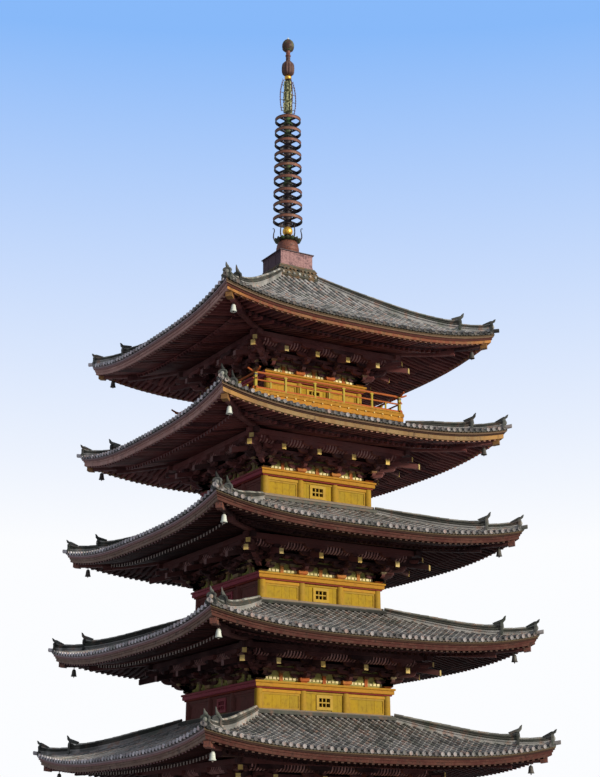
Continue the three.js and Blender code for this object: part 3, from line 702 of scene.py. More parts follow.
def panRow(shape, storey, across, end):
    stops = stepsOf(-tiles["overhang"] * 0.3, end, tiles["panLength"])
    count = len(stops) - 1
    insets = np.repeat(stops, 2)[1:-1, None]
    lifts = np.tile([tiles["panStep"], 0.0], count)[:, None]
    reach = (tiles["pitch"] / 2 - tiles["roundRadius"] * 0.55) * np.array([-1, 0, 1])
    above = lifts - tiles["panDip"] * np.array([0, 1, 0]) - tiles["axisDrop"] - tiles["panDrop"]
    points = roofPoints(storey, across + reach, insets, above)
    tones = np.repeat(chance.random(count) * 0.6, 2)
    # the first one lies in the shadow of the round tiles, painted on it as a dark colour
    shape.rings(points[:2], 6, tones[:2], (False, False), closed=False)
    if count > 1:
        shape.rings(points[2:], 0, tones[2:], (False, False), closed=False)


def tileDisc(shape, storey, across):
    # round end tile: a rim, a sunk face and a small boss
    x, y, z = roofPoints(storey, across, -tiles["overhang"], -tiles["axisDrop"])
    radius = tiles["discRadius"]
    steps = (-0.05, radius), (0.012, radius), (0.012, radius * 0.74), (-0.006, radius * 0.66)
    shape.stud(x, -y, z, steps, 10, 1, chance.random(), (False, True))


def panLip(shape, storey, across):
    # hanging lip of the pan tile at the edge, painted dark for the shadow under the round tiles
    places = np.linspace(-1, 1, 5)
    reach = (tiles["pitch"] / 2 - tiles["roundRadius"] * 0.5) * places
    tops = tiles["panStep"] - tiles["axisDrop"] - tiles["panDrop"] - tiles["panDip"] * (1 - places ** 2)
    rings = [
        roofPoints(storey, across + reach, inset, tops - deep)
        for inset, deep in ((0.05, 0.0), (-0.02, 0.0), (-0.02, 0.07), (0.05, 0.07))
    ]
    shape.rings(rings, 6, chance.random(), (False, False), closed=False)


def roofBed(shape, storey):
    # the clay bed and boards that the tiles lie on, closed all round
    inner = tower["eaveHalves"][storey] - roofInner(storey)
    insets = np.linspace(roofs["bedInset"], inner, len(roofs["bedShares"]))
    tops = np.full(len(insets), -roofs["bedDrop"])
    tops[0] += 0.02
    lows = 0.025 - roofs["bedDrop"] - roofs["bedThickness"] * np.array(roofs["bedShares"])
    section = np.vstack([np.column_stack([insets, tops]), np.column_stack([insets, lows])[::-1]])
    alongEave(shape, storey, section, 3, 0.4, roofPoints, tower["roofFade"], 17)


# heights at the back, in the middle and at the end, where each ridge sweeps up
hips = {
    "upper": {"end": 1.2, "heights": (0.24, 0.38, 0.52), "horn": 0.32},
    "lower": {"end": 0.12, "heights": (0.26, 0.26, 0.34), "horn": 0.2},
    "width": 0.34,
    "capRadius": 0.085,
    "capLength": 0.3,
    "courses": 3,
    "sweep": 0.45,
}


def ridgeHeight(ridge, start, inset):
    # height of the ridge's top above the tiled surface
    back, middle, end = ridge["heights"]
    near, sweep = ridge["end"], hips["sweep"]
    return np.interp(inset, [near, near + sweep * 0.5, near + sweep, (start + near) * 0.55, start],
                     [end, middle + (end - middle) * 0.25, middle, middle, back])


def ridgeOutline(height):
    # outline of stacked flat courses, from the foot up, and where the cap tiles sit
    wide = hips["width"] / 2
    course = (height - hips["capRadius"] * 0.9 + 0.02) / hips["courses"]
    outline, level = [(wide, -0.16)], -0.02
    for step in range(hips["courses"]):
        proud, ledge = wide - 0.024 * step, level + course * 0.42
        outline += [(proud - 0.035, level), (proud - 0.035, ledge), (proud, ledge), (proud, level + course)]
        level += course
    outline.append((hips["capRadius"] * 1.1, level))
    return np.array(outline + [(-across, high) for across, high in reversed(outline)]), level


def hipRun(shape, storey, ridge, start):
    # one step of the ridge: courses below, a row of round cap tiles on top
    end, radius = ridge["end"], hips["capRadius"]
    bend = end + hips["sweep"]
    steps = max(4, int((start - end) / 0.6) + 2)
    insets = np.append(np.linspace(start, bend, steps), np.linspace(bend, end, 5)[1:])
    rings = []
    for inset in insets:
        outline = ridgeOutline(ridgeHeight(ridge, start, inset))[0]
        rings.append(ridgePoints(storey, inset, *outline.T))
    courses = np.full(len(outline), 2)
    courses[:5] = courses[-6:-1] = 0
    shape.rings(rings, courses, chance.random(len(insets)) * 0.6, endLook=2)
    stops = np.linspace(start, end, max(2, int((start - end) / hips["capLength"]) + 1))
    count = len(stops) - 1
    turns = np.linspace(-0.1, math.pi + 0.1, 8)
    rings = []
    for inset, size in zip(np.repeat(stops, 2)[1:-1], [radius * tiles["taper"], radius] * count):
        top = ridgeOutline(ridgeHeight(ridge, start, inset))[1]
        rings.append(ridgePoints(storey, inset, size * np.cos(turns), top + size * np.sin(turns)))
    shape.rings(rings, 4, np.repeat(chance.random(count), 2), (False, False), closed=False)


def ridgeEnd(shape, storey, ridge):
    # shield plate that closes a ridge, with shoulders and a boss, and the horn that sweeps up over it
    end, top, tall = ridge["end"], ridge["heights"][2], ridge["horn"]
    half = np.array([
        (0.0, -0.2), (0.25, -0.17), (0.28, -0.04), (0.2, 0.03), (0.185, top * 0.45), (0.22, top * 0.6),
        (0.19, top * 0.85), (0.1, top), (0.0, top + 0.02),
    ])
    outline = np.vstack([half, (half * (-1, 1))[-2:0:-1]])
    middle = np.array([0.0, top * 0.4])
    rings = []
    for deep, size in ((0.06, 1.0), (0.0, 1.0), (-0.02, 0.93), (-0.025, 0.74), (-0.01, 0.7)):
        scaled = middle + (outline - middle) * size
        rings.append(ridgePoints(storey, end + deep, *scaled.T))
    shape.rings(rings, 5, chance.random())
    cos, sin = circle(8)
    boss = [ridgePoints(storey, end + deep, size * cos, top * 0.4 + size * sin)
            for deep, size in ((0.0, 0.1), (-0.04, 0.09), (-0.06, 0.05))]
    shape.rings(boss, 4, chance.random())
    path = [
        (end + 0.3, top - 0.12), (end + 0.14, top - 0.02), (end + 0.02, top + 0.06),
        (end - 0.05, top + tall * 0.45), (end - 0.08, top + tall * 0.8), (end - 0.11, top + tall),
    ]
    radii = 0.08, 0.085, 0.08, 0.055, 0.034, 0.014
    horn = []
    for (inset, above), heading, radius in zip(path, headings(path), radii):
        along = radius * sin
        horn.append(ridgePoints(storey, inset - along * heading[1], radius * cos, above + along * heading[0]))
    shape.rings(horn, 5, chance.random())


def hipRidge(shape, storey):
    stop = tower["balconyHalf"] if storey == topStorey - 1 else roofInner(storey)
    hipRun(shape, storey, hips["upper"], tower["eaveHalves"][storey] - stop - 0.02)
    ridgeEnd(shape, storey, hips["upper"])
    hipRun(shape, storey, hips["lower"], hips["upper"]["end"] + 0.06)
    ridgeEnd(shape, storey, hips["lower"])
    # the tile that points out of the corner, under the ridge
    cos, sin = circle(10)
    rings = [ridgePoints(storey, inset, size * cos, size * sin - 0.08)
             for inset, size in ((0.5, 0.09), (0.0, 0.1), (-0.1, 0.1), (-0.1, 0.07), (-0.085, 0.06))]
    shape.rings(rings, 1, chance.random())


def wallCourse(shape, storey):
    # two flat courses where the roof meets the wall above
    half = roofInner(storey)
    level = tileLevel(storey, tower["eaveHalves"][storey] - half)
    for low, high, wide in ((-0.12, 0.0, 0.22), (0.0, 0.05, 0.18)):
        shape.mitred(corners(half, half + wide, level + low, level + high), 2, chance.random())


collar = {"low": 31.3, "top": 32.08, "half": 1.04, "spread": 0.034, "courses": 7, "depth": 0.3}


def roofCollar(shape):
    # stacked courses round the foot of the finial's basin, with two rows of round tiles in them
    height = (collar["top"] - collar["low"]) / collar["courses"]
    for course in range(collar["courses"]):
        low = collar["low"] + course * height
        half = collar["half"] + 0.03 * (course % 2) + collar["spread"] * (collar["courses"] - course)
        inner = half - collar["depth"]
        shape.band(half, inner, low, low + height * 0.55, 7, 0.012)
        shape.band(half - 0.035, inner, low + height * 0.55, low + height, 7)
    for rise, gap, start, look in ((0.26, 0.32, -0.96, 4), (0.5, 0.22, -0.88, 7)):
        out = collar["half"] + collar["spread"] * (collar["courses"] - rise * 9) + 0.08
        for across in np.arange(start, -start + 0.01, gap):
            steps = (-0.15, 0.06), (0.0, 0.072), (0.02, 0.05)
            shape.stud(across, out, collar["low"] + rise, steps, 8, look, chance.random())


def makeRoof(storey):
    shape = Shape()
    reach = tower["eaveHalves"][storey] + tower["cornerFlare"] - 0.2
    count = int(reach / tiles["pitch"])
    for row in range(-count, count + 1):
        across = row * tiles["pitch"]
        end = rowEnd(storey, across)
        tileDisc(shape, storey, across)
        if end > 0.3:
            roundRow(shape, storey, across, end)
    for row in range(-count - 1, count + 1):
        across = (row + 0.5) * tiles["pitch"]
        end = rowEnd(storey, across)
        if abs(across) < reach + 0.05:
            panLip(shape, storey, across)
        if end > 0.2:
            panRow(shape, storey, across, end)
    roofBed(shape, storey)
    hipRidge(shape, storey)
    if storey == topStorey:
        roofCollar(shape)
    elif storey < topStorey - 1:
        wallCourse(shape, storey)
    # on the left side the end discs take the pale copy painted for the sky light there
    shape.around({1: 8})
    # the top roof's end discs are painted dark for the shade on their faces
    discs = "darkTileEnd" if storey == topStorey else "tileEnd"
    makePiece(f"roof_tiles_{storey + 1}", shape,
              ("tile", discs, "ridge", "board", "cap", "horn", "gap", "collar", "leeTileEnd"),
              [f"roof_{storey + 1}"])


for storey in storeys:
    makeRoof(storey)
print("pagoda: roofs laid")


eaves = {
    "rafterSpacing": 0.31,
    "rafterWidth": 0.15,
    "rafterDepth": 0.14,
    "tipShare": 0.86,                # size of a rafter's tip
    "flyingTip": (0.25, -0.48),      # in from the tile edge, and height of the underside from the tile ends
    "flyingFoot": (1.75, -0.27),
    "baseTip": (1.68, -0.5),
    "baseFoot": (0.1, 0.25),         # out from the post line, and height
    "cornerBeamWidth": 0.28,
    "cornerBeamDepth": 0.22,
    "cornerBeamEnd": 0.36,
    "cornerStep": 1.6,
    # inset, width and look of the tile seat, light board, red board and eave board
    "boards": ((0.06, 0.24, 2), (0.09, 0.23, 10), (0.15, 0.23, 8), (0.19, 0.24, 5)),
    # their undersides on each storey
    "strips": [(-0.085, -0.165, -0.26, -0.395)] * 3 + [
        (-0.055, -0.12, -0.2, -0.4), (-0.085, -0.165, -0.285, -0.425),
    ],
    # eave board, light board, red board, rafter ends, rafters, boards over them, shoe, and on the left the
    # eave board and the tips of the lower rafters, in copies painted for the shade and sky light on that side
    "paints": [("redFascia", "blackLine", "redFascia", "darkEnd", "deepRafter", "deepSoffit", "bronze",
                "leeDeep", "leeTip")] * 3 + [
        ("tanFascia", "seatLine", "blackLine", "rafterEnd", "rafter", "soffit", "shoe",
         "leeFascia", "leeEnd"),
        ("fascia", "seatLine", "redBoard", "rafterEnd", "rafter", "soffit", "shoe", "leeFascia", "rafter"),
    ],
}


def eavePoints(storey, across, inset, height):
    # points under the front eaves, with the height measured from the tile ends
    return sidePoints(storey, across, inset, tower["eaveHeights"][storey] + height, tower["eaveFade"])


def eaveCorner(storey, inset, sideways, height):
    return hipPoints(storey, inset, sideways, tower["eaveHeights"][storey] + height, tower["eaveFade"])


def eaveStrip(shape, storey, section, look):
    alongEave(shape, storey, section, look, chance.random(), eavePoints, tower["eaveFade"])


def rafterLine(storey, tier):
    # (inset, underside height) of a rafter's two ends
    if tier == "flying":
        return eaves["flyingTip"], eaves["flyingFoot"]
    out, height = eaves["baseFoot"]
    return eaves["baseTip"], (tower["eaveHalves"][storey] - tower["postHalves"][storey] - out, height)


def rafterUnder(storey, tier, inset):
    # height of the underside at that inset
    (tip, tipHeight), (foot, footHeight) = rafterLine(storey, tier)
    return tipHeight + (footHeight - tipHeight) * (inset - tip) / (foot - tip)


def rafter(shape, storey, across, tier, endLook):
    tip, foot = rafterLine(storey, tier)
    insets = np.linspace(tip[0], foot[0], 60)
    inside = insets[cornerOut(storey, insets, tower["eaveFade"]) - 0.17 > abs(across)]
    if len(inside) < 3:
        return
    half, depth = eaves["rafterWidth"] / 2, eaves["rafterDepth"]
    rings = []
    for index, inset in enumerate(np.linspace(inside[0], inside[-1], 3 if tier == "flying" else 4)):
        slim = 1.0 if index else eaves["tipShare"]
        lift = (1 - slim) * depth
        middle = eavePoints(storey, across, inset, rafterUnder(storey, tier, inset))
        rings.append([middle + (x, 0, z) for x, z in corners(-half * slim, half * slim, lift, depth + lift)])
    shape.rings(rings, 1, chance.random(), (True, False), endLook)


def cornerRafters(shape, storey):
    # the lower one stops at the first tier's tips and the upper one runs on to the corner
    width, depth, end = eaves["cornerBeamWidth"] / 2, eaves["cornerBeamDepth"], eaves["cornerBeamEnd"]
    foot = rafterLine(storey, "base")[1][0]
    for tier, sunk, insets in (("flying", 0.9, (end, 0.9, 1.9, 2.3)),
                               ("base", 0.75, (eaves["cornerStep"] - 0.12, 2.4, 3.3, foot - 0.1))):
        rings = []
        for inset in insets:
            under = rafterUnder(storey, tier, inset) - depth * sunk
            outline = np.array([
                (-width, under + 0.03), (-width + 0.03, under), (width - 0.03, under), (width, under + 0.03),
                (width, under + depth * 1.5), (-width, under + depth * 1.5),
            ])
            rings.append(eaveCorner(storey, inset, *outline.T))
        shape.rings(rings, 0, chance.random())
    # metal shoe on the tip
    under = rafterUnder(storey, "flying", end) - depth * 0.9
    wide = width + 0.015
    sideways, heights = np.array(corners(-wide, wide, under - 0.015, under + depth * 1.5)).T
    rings = [eaveCorner(storey, inset, sideways, heights) for inset in (end + 0.2, end - 0.02)]
    shape.rings(rings, 9, chance.random())


def makeEaves(storey):
    shape = Shape()
    count = int((tower["eaveHalves"][storey] + tower["cornerFlare"]) / eaves["rafterSpacing"])
    for index in range(-count, count):
        across = (index + 0.5) * eaves["rafterSpacing"]
        rafter(shape, storey, across, "flying", 3)
        rafter(shape, storey, across, "base", 4)
    # dark tile seat, light board, dark red board, eave board on the rafter tips
    top = -0.01
    for (near, deep, look), low in zip(eaves["boards"], eaves["strips"][storey]):
        eaveStrip(shape, storey, [(near, top), (near, low), (near + deep, low), (near + deep, top)], look)
        top = low
    (tip, tipLow), (foot, footLow), (baseTip, baseLow), (baseFoot, baseHigh) = (
        *rafterLine(storey, "flying"), *rafterLine(storey, "base"))
    depth = eaves["rafterDepth"]
    tipTop, footTop, baseTop, wallTop = (height + depth for height in (tipLow, footLow, baseLow, baseHigh))
    for start, end, heights, look in (
        # boards over both tiers of rafters
        (tip + 0.15, foot + 0.1, (tipTop, footTop + 0.015, footTop + 0.05, tipTop + 0.04), 6),
        (baseTip + 0.1, baseFoot, (baseTop + 0.02, wallTop, wallTop + 0.04, baseTop + 0.06), 6),
        # the beam on the first tier's tips, which the flying rafters rest on
        (baseTip + 0.04, baseTip + 0.24, (baseTop, baseTop + 0.04, footLow + 0.01, footLow - 0.01), 7),
    ):
        eaveStrip(shape, storey, list(zip((start, end, end, start), heights)), look)
    cornerRafters(shape, storey)
    # on the left side the seat, line, eave board, rafter ends and lower rafter tips take copies painted for
    # the shade there
    shape.around({2: 11, 3: 14, 4: 15, 5: 13, 8: 13, 10: 12})
    fascia, line, red, end, timber, boards, shoe, leeFascia, leeTip = eaves["paints"][storey]
    # under the lower storeys' eaves the beams take the copy painted dark for the deep shade there
    beam = "deepTimber" if storey < shadedStoreys else "darkTimber"
    makePiece(f"rafters_{storey + 1}", shape,
              (beam, timber, "board", end, timber, fascia, boards, beam, red, shoe,
               line, "leeSeat", "leeLine", leeFascia, "leeEnd", leeTip),
              [f"eaves_{storey + 1}"])


bells = {
    "inset": 0.88,
    "radius": 0.155,
    "height": 0.36,
    "drop": 0.1,
    # share of the radius, and height over the rim
    "profile": ((0.8, 0.02), (0.98, 0.0), (1.0, 0.015), (0.86, 0.05), (0.76, 0.14), (0.68, 0.24), (0.6, 0.3),
                (0.4, 0.345), (0.12, 0.36)),
}


def makeBells(storey):
    # a wind bell on each corner rafter, with its clapper and the fin that catches the wind
    shape = Shape()
    under = rafterUnder(storey, "flying", bells["inset"]) - eaves["cornerBeamDepth"] * 0.9
    x, y, z = eaveCorner(storey, bells["inset"], 0.0, under)
    top, radius = z - bells["drop"], bells["radius"]
    rim = top - bells["height"]
    profile = [(radius * share, rim + rise) for share, rise in bells["profile"]]
    shape.turned(profile, 14, (x, y), 0, (False, True), 0.6)
    shape.turned([(radius * 0.74, rim + 0.05), (radius * 0.8, rim + 0.02)], 14, (x, y), 0, (True, False), 0.1)
    hoop(shape, (x, y, top + 0.045), 0.045, 0.012, 5, 13)
    shape.beam((x, y, top + 0.07), (x, y, z + 0.02), 0.02, 0.02, 1)
    shape.beam((x, y, rim - 0.05), (x, y, rim + 0.12), 0.016, 0.016, 1)
    shape.box((x - 0.035, y - 0.006, rim - 0.07), (x + 0.035, y + 0.006, rim + 0.005), 1)
    # the near corner's bell is the pale, sunlit one; the other three take the colour painted dark for the
    # shade they hang in
    own = len(shape.looks)
    shape.around()
    shape.looks[own:] = [2 if look == 0 else look for look in shape.looks[own:]]
    makePiece(f"wind_bells_{storey + 1}", shape, ("bell", "iron", "darkBell"))


for storey in storeys:
    makeEaves(storey)
    makeBells(storey)
print("pagoda: rafters and bells hung")


bracketry = {
    "step": 0.45,            # how far each tier stands out
    "armWidth": 0.19,
    "blockWidth": 0.29,
    "footBlockWidth": 0.5,
    "tailEnd": (1.85, -0.92),
    "tailSlope": 0.25,
    "tailDepth": 0.24,
    "tailWidth": 0.2,
    "ribPitch": 0.165,
}
# heights from the tile ends: (low, high) of each course
courses = {
    "strut": (-1.6, -1.21),
    "footBlock": (-1.6, -1.37), "arm1": (-1.37, -1.21), "blocks1": (-1.21, -1.09), "arm2": (-1.09, -0.94),
    "blocks2": (-0.94, -0.81), "tie": (-0.84, -0.68), "arm3": (-0.79, -0.64), "blocks3": (-0.64, -0.52),
    "blocks4": (-0.69, -0.53), "arm4": (-0.53, -0.335), "purlin": (-0.33, -0.085),
    "wallTie": (-0.5, -0.3), "midTie": (-0.52, -0.38),
}


def frontPlace(offset, line, level):
    # turns (out, across, height) into a place on the front face
    def place(points):
        out, across, height = np.moveaxis(np.asarray(points, float), -1, 0)
        return np.stack([offset + across, -(line + out), level + height], axis=-1)
    return place


def cornerPlace(line, level):
    # the same along the diagonal of the near left corner
    def place(points):
        out, across, height = np.moveaxis(np.asarray(points, float), -1, 0)
        aside = across / math.sqrt(2)
        return np.stack([-(line + out) + aside, -(line + out) - aside, level + height], axis=-1)
    return place


def plate(shape, place, outline, width, look=0):
    # an outline of (out, height) sawn from a plank of that width
    rings = [[(out, side, height) for out, height in outline] for side in about(0, width / 2)]
    shape.rings(place(rings), look)


def bearingBlock(shape, place, out, across, levels, width, look=0):
    # straight above, cut in below to its narrow foot
    low, high = levels
    rings = []
    for share, size in ((0.0, 0.64), (0.16, 0.68), (0.42, 1.0), (1.0, 1.0)):
        side = width / 2 * size
        height = low + (high - low) * share
        rings.append([(x, y, height) for x, y in corners(*about(out, side), *about(across, side))])
    shape.rings(place(rings), look, chance.random())


def armEnd(reach, levels):
    # rounded end of an arm, from its underside up
    low, high = levels
    return [(reach - 0.2, low), (reach - 0.09, low + 0.035), (reach - 0.02, low + 0.1), (reach, high)]


def outArm(shape, place, start, reach, levels):
    low, high = levels
    plate(shape, place, [(start, low), *armEnd(reach, levels), (start, high)], bracketry["armWidth"])


def crossArm(shape, place, out, reach, levels):
    side = armEnd(reach, levels)
    outline = side + [(-across, height) for across, height in reversed(side)]
    faces = about(out, bracketry["armWidth"] / 2)
    shape.rings(place([[(face, across, height) for across, height in outline] for face in faces]))


def tailRafter(shape, place):
    # slopes out and down through the bracket, its end faced with a painted board
    out, height = bracketry["tailEnd"]
    depth, width, start = bracketry["tailDepth"] / 2, bracketry["tailWidth"], -0.1
    back = height + bracketry["tailSlope"] * (out - start)
    outline = [(start, back - depth), (out, height - depth), (out, height + depth), (start, back + depth)]
    plate(shape, place, outline, width)
    plate(shape, place, corners(out, out + 0.025, *about(height, depth + 0.008)), width + 0.016, 2)


def bracketSet(shape, place):
    step, wide = bracketry["step"], bracketry["blockWidth"]
    # the foot block is painted orange for the sun that reaches it
    bearingBlock(shape, place, 0, 0, courses["footBlock"], bracketry["footBlockWidth"], 7)
    outArm(shape, place, -0.1, step + 0.16, courses["arm1"])
    crossArm(shape, place, 0, 0.66, courses["arm1"])
    for across in (-0.54, 0, 0.54):
        bearingBlock(shape, place, 0, across, courses["blocks1"], wide, 1)
        bearingBlock(shape, place, step, across, courses["blocks2"], wide)
        bearingBlock(shape, place, step * 2, across * 0.85, courses["blocks3"], wide)
    bearingBlock(shape, place, step, 0, courses["blocks1"], wide)
    outArm(shape, place, 0, step * 2 + 0.16, courses["arm2"])
    crossArm(shape, place, step, 0.66, courses["arm2"])
    bearingBlock(shape, place, step * 2, 0, courses["blocks2"], wide)
    crossArm(shape, place, step * 2, 0.6, courses["arm3"])
    tailRafter(shape, place)
    bearingBlock(shape, place, step * 3, 0, courses["blocks4"], wide)
    crossArm(shape, place, step * 3, 0.62, courses["arm4"])


def cornerSet(shape, place):
    # the diagonal members of the corner bracket, longer than the straight ones
    step, wide = bracketry["step"], bracketry["blockWidth"] * 1.1
    outArm(shape, place, 0, step + 0.12, courses["arm1"])
    bearingBlock(shape, place, step, 0, courses["blocks1"], wide)
    outArm(shape, place, 0, step * 2 + 0.12, courses["arm2"])
    bearingBlock(shape, place, step * 2, 0, courses["blocks2"], wide)
    tailRafter(shape, place)
    bearingBlock(shape, place, step * 3, 0, courses["blocks4"], wide)
    # short beam over it, with its painted end
    for start, end, ease, width, look in ((0.6, 1.62, 0, 0.2, 0), (1.62, 1.64, 0.005, 0.21, 2)):
        plate(shape, place, corners(start, end, -0.62 - ease, -0.42 + ease), width, look)


def curvedRibs(shape, line, level):
    # closely set ribs that curve from the second tier out to the purlin, under a dark board
    low, high = -0.62, -0.34
    start, end = 2 * bracketry["step"] + 0.06, 3 * bracketry["step"] - 0.08
    pitch, half, rib, board = bracketry["ribPitch"], 0.032, 0.045, 0.075
    curve = [(line + start + (end - start) * math.sin(turn), level + high - (high - low) * math.cos(turn))
             for turn in np.linspace(0, math.pi / 2, 5)]
    count = int((line + start) / pitch)
    for index in range(-count, count + 1):
        rings = [[(x, -out, z) for x, z in corners(*about(index * pitch, half), height, height + rib)]
                 for out, height in curve]
        shape.rings(rings, 5, chance.random())
    section = [(out, height + rib) for out, height in curve]
    section += [(out, height + board) for out, height in curve[::-1]]
    shape.mitred(section, 3, chance.random())


def makeBrackets(storey):
    shape = Shape()
    line, level = tower["postHalves"][storey], tower["eaveHeights"][storey]
    step, wide = bracketry["step"], bracketry["blockWidth"]
    for offset in (-line, -line / 3, line / 3, line):
        bracketSet(shape, frontPlace(offset, line, level))
    cornerSet(shape, cornerPlace(line, level))
    # struts between the posts
    low, high = courses["strut"]
    for offset in (-line * 2 / 3, 0, line * 2 / 3):
        place = frontPlace(offset, line, level)
        # the strut is painted orange for the sun that reaches it
        plate(shape, place, corners(-0.04, 0.06, low, high), 0.17, 7)
        bearingBlock(shape, place, 0.0, 0, courses["blocks1"], wide, 1)
        bearingBlock(shape, place, step, 0, courses["blocks2"], wide)
    # plaster between the arms at the wall with small pale blocks low on it, which are painted sunlight on the
    # plaster's foot, boards higher up
    inner = line - 0.1
    shape.band(line - 0.03, inner, level - 1.39, level - 1.09, 4)
    shape.band(line - 0.02, inner, level - 1.595, level - 1.39, 4)
    for across in np.arange(0.12 - line, line - 0.1, 0.21):
        levels = level - 1.5, level - 1.385
        shape.board((across, across + 0.15), (line + 0.03, line - 0.05), levels, 8, 0.012)
    shape.band(line - 0.03, inner, level - 0.94, level - 0.84, 4)
    shape.band(line - 0.03, inner, level - 0.84, level + 0.25, 3)
    for tier, course, width in ((0, "arm2", 0.18), (0, "tie", 0.18), (0, "wallTie", 0.18), (1, "tie", 0.17),
                                (2, "midTie", 0.17), (3, "purlin", 0.26)):
        low, high = courses[course]
        edge = line + step * tier
        shape.band(edge + width / 2, edge - width / 2, level + low, level + high, 0, 0.012)
        if tier:
            # ends that cross at the corners
            middle = level + (low + high) / 2
            for side in (-1, 1):
                shape.beam((side * (edge - 0.1), -edge, middle), (side * (edge + 0.34), -edge, middle),
                           width * 0.96, high - low - 0.006, 0)
    # small ceilings between the tiers
    shape.band(line + step, line + 0.05, level - 0.69, level - 0.66, 3)
    shape.band(line + step * 2, line + step, level - 0.5, level - 0.47, 3)
    for out in np.arange(0.13, step, 0.11):
        shape.band(line + out + 0.014, line + out - 0.014, level - 0.72, level - 0.69, 5)
    curvedRibs(shape, line, level)
    # on the left side, in shade, the tail ends take a dark copy, the sunlit feet the plain block colour and
    # the sunlit plaster spots plain plaster
    shape.around({2: 6, 7: 1, 8: 4})
    timber, boards, rib = "darkTimber", "soffit", "rib"
    # the lower storeys' brackets take copies painted darker for the deep shade under their eaves
    if storey < shadedStoreys:
        timber, boards, rib = "deepTimber", "deepSoffit", "deepRib"
    makePiece(f"bracket_sets_{storey + 1}", shape,
              (timber, "bracketBlock", "tailEnd", boards, "plaster", rib, "leeLine", "footPaint", "cream"),
              [f"brackets_{storey + 1}"])


for storey in storeys:
    makeBrackets(storey)
print("pagoda: brackets set")


frames = {
    "postRadius": 0.19,
    "lintelHeight": 0.28, "lintelOuter": 0.33, "lintelInner": 0.3,
    "plateHeight": 0.1,
    "lineHeight": 0.07,
    "curbHalf": 0.15,
    # heights of an upper storey's foot from the tile ends below
    "deckTop": 0.5, "floor": (1.7, 1.9), "sill": (2.05, 2.25), "ledger": (1.46, 1.62),
    "floorInner": 0.45, "sillOuter": 0.24, "ledgerOuter": 0.42,
    # heights on the ground storey
    "head": (3.75, 3.95), "waist": (2.02, 2.16),
    "face": 0.03,            # how far the wall boards stand out from the post line
    "back": -0.02,
    "jointGap": 0.002,
}
door = {"half": 0.86, "low": 1.15, "high": 3.75, "jamb": 0.14, "clearance": 0.004}


def lintelBottom(storey):
    return tower["eaveHeights"][storey] + tower["lintelTop"] - frames["lintelHeight"]


def makeFrame(storey):
    # round posts, the lintel with its plate, the dark red line under it, which is red paint darkened as
    # painted shadow under the lintel, and the sills
    shape = Shape()
    line, radius, podiumTop = tower["postHalves"][storey], frames["postRadius"], tower["podiumTop"]
    top = tower["eaveHeights"][storey] + tower["lintelTop"]
    bottom = lintelBottom(storey)
    below = tower["eaveHeights"][storey - 1] if storey else 0.0
    foot = below + frames["floor"][1] if storey else podiumTop + 0.06
    tall = bottom - foot
    for across in (-line, -line / 3, line / 3):
        shape.turned([
            (radius * 0.99, foot), (radius, foot + tall * 0.3), (radius * 0.99, foot + tall * 0.6),
            (radius * 0.96, foot + tall * 0.9), (radius * 0.92, bottom + 0.01),
        ], 18, (across, -line), 1)
        if storey == 0:
            shape.turned([(radius * 1.5, foot - 0.06), (radius * 1.48, foot - 0.03), (radius * 1.3, foot),
                          (radius, foot + 0.005)], 18, (across, -line), 4)
    plateLow = top - frames["plateHeight"]
    outer, inner = line + frames["lintelOuter"], line - frames["lintelInner"]
    shape.band(outer, inner, plateLow, top, 0, 0.016)
    shape.band(outer - 0.05, inner, bottom, plateLow, 0, 0.02)
    # red line under the lintel, darkened as painted shadow
    shape.band(line + 0.2, line + 0.002, bottom - frames["lineHeight"], bottom, 2, 0.01)
    sillOut = line + frames["sillOuter"]
    if storey == 0:
        shape.band(sillOut, line, podiumTop, podiumTop + 0.2, 0, 0.015)
        shape.band(sillOut, line, *frames["head"], 0, 0.02)
        # waist rail, broken off at the jambs of the door
        jamb = door["half"] + door["jamb"]
        for across in ((-line - 0.2, -jamb), (jamb, line)):
            shape.board(across, (line + 0.2, line), frames["waist"], 0, 0.015)
    else:
        curb = frames["curbHalf"]
        keys = "floor", "sill", "ledger"
        floor, sill, ledger = ([below + height for height in frames[key]] for key in keys)
        shape.band(line + curb, line - curb, below + frames["deckTop"], floor[0], 3, 0.015)
        shape.band(line + curb, line - frames["floorInner"], *floor, 3, 0.015)
        shape.band(sillOut, line, *sill, 5, 0.02)
        shape.band(line + 0.14, line, floor[1], sill[0], 3)
        shape.band(line + frames["ledgerOuter"], line + curb - 0.02, *ledger, 3, 0.015)
    # on the left side the lintel and posts take the copies painted dark for the shade there
    shape.around({0: 6, 1: 7})
    makePiece(f"posts_and_lintels_{storey + 1}", shape,
              ("lintel", "post", "redLine", "darkTimber", "stone", "sill", "leeLintel", "leeWall"),
              [f"post_frame_{storey + 1}"])


def frameBoards(shape, across, levels, width, front, back, look=2):
    # four boards round a rectangle, mitred in front
    (left, right), (low, high) = across, levels
    outer = corners(left, right, low, high)
    inner = corners(left + width, right - width, low + width, high - width)
    for index in range(4):
        after = (index + 1) % 4
        section = outer[index], outer[after], inner[after], inner[index]
        shape.rings([[(x, -out, z) for x, z in section] for out in (back, front)], look, chance.random())


def boardedPanel(shape, across, levels, count, front, look=0):
    # upright boards side by side, their edges eased so that the joints show
    left, right = across
    width, gap = (right - left) / count, frames["jointGap"]
    for index in range(count):
        start = left + index * width
        shape.board((start + gap, start + width - gap), (front, front - 0.05), levels, look, 0.005)


def beside(middle, near, far):
    # the stretches of wall to the left and right of an opening
    return [tuple(sorted((middle + side * far, middle + side * near))) for side in (-1, 1)]


window = {
    "half": 0.37, "low": -2.75, "high": -2.16,
    "frame": 0.07, "margin": 0.04, "bar": 0.05, "crossBar": 0.06,
}


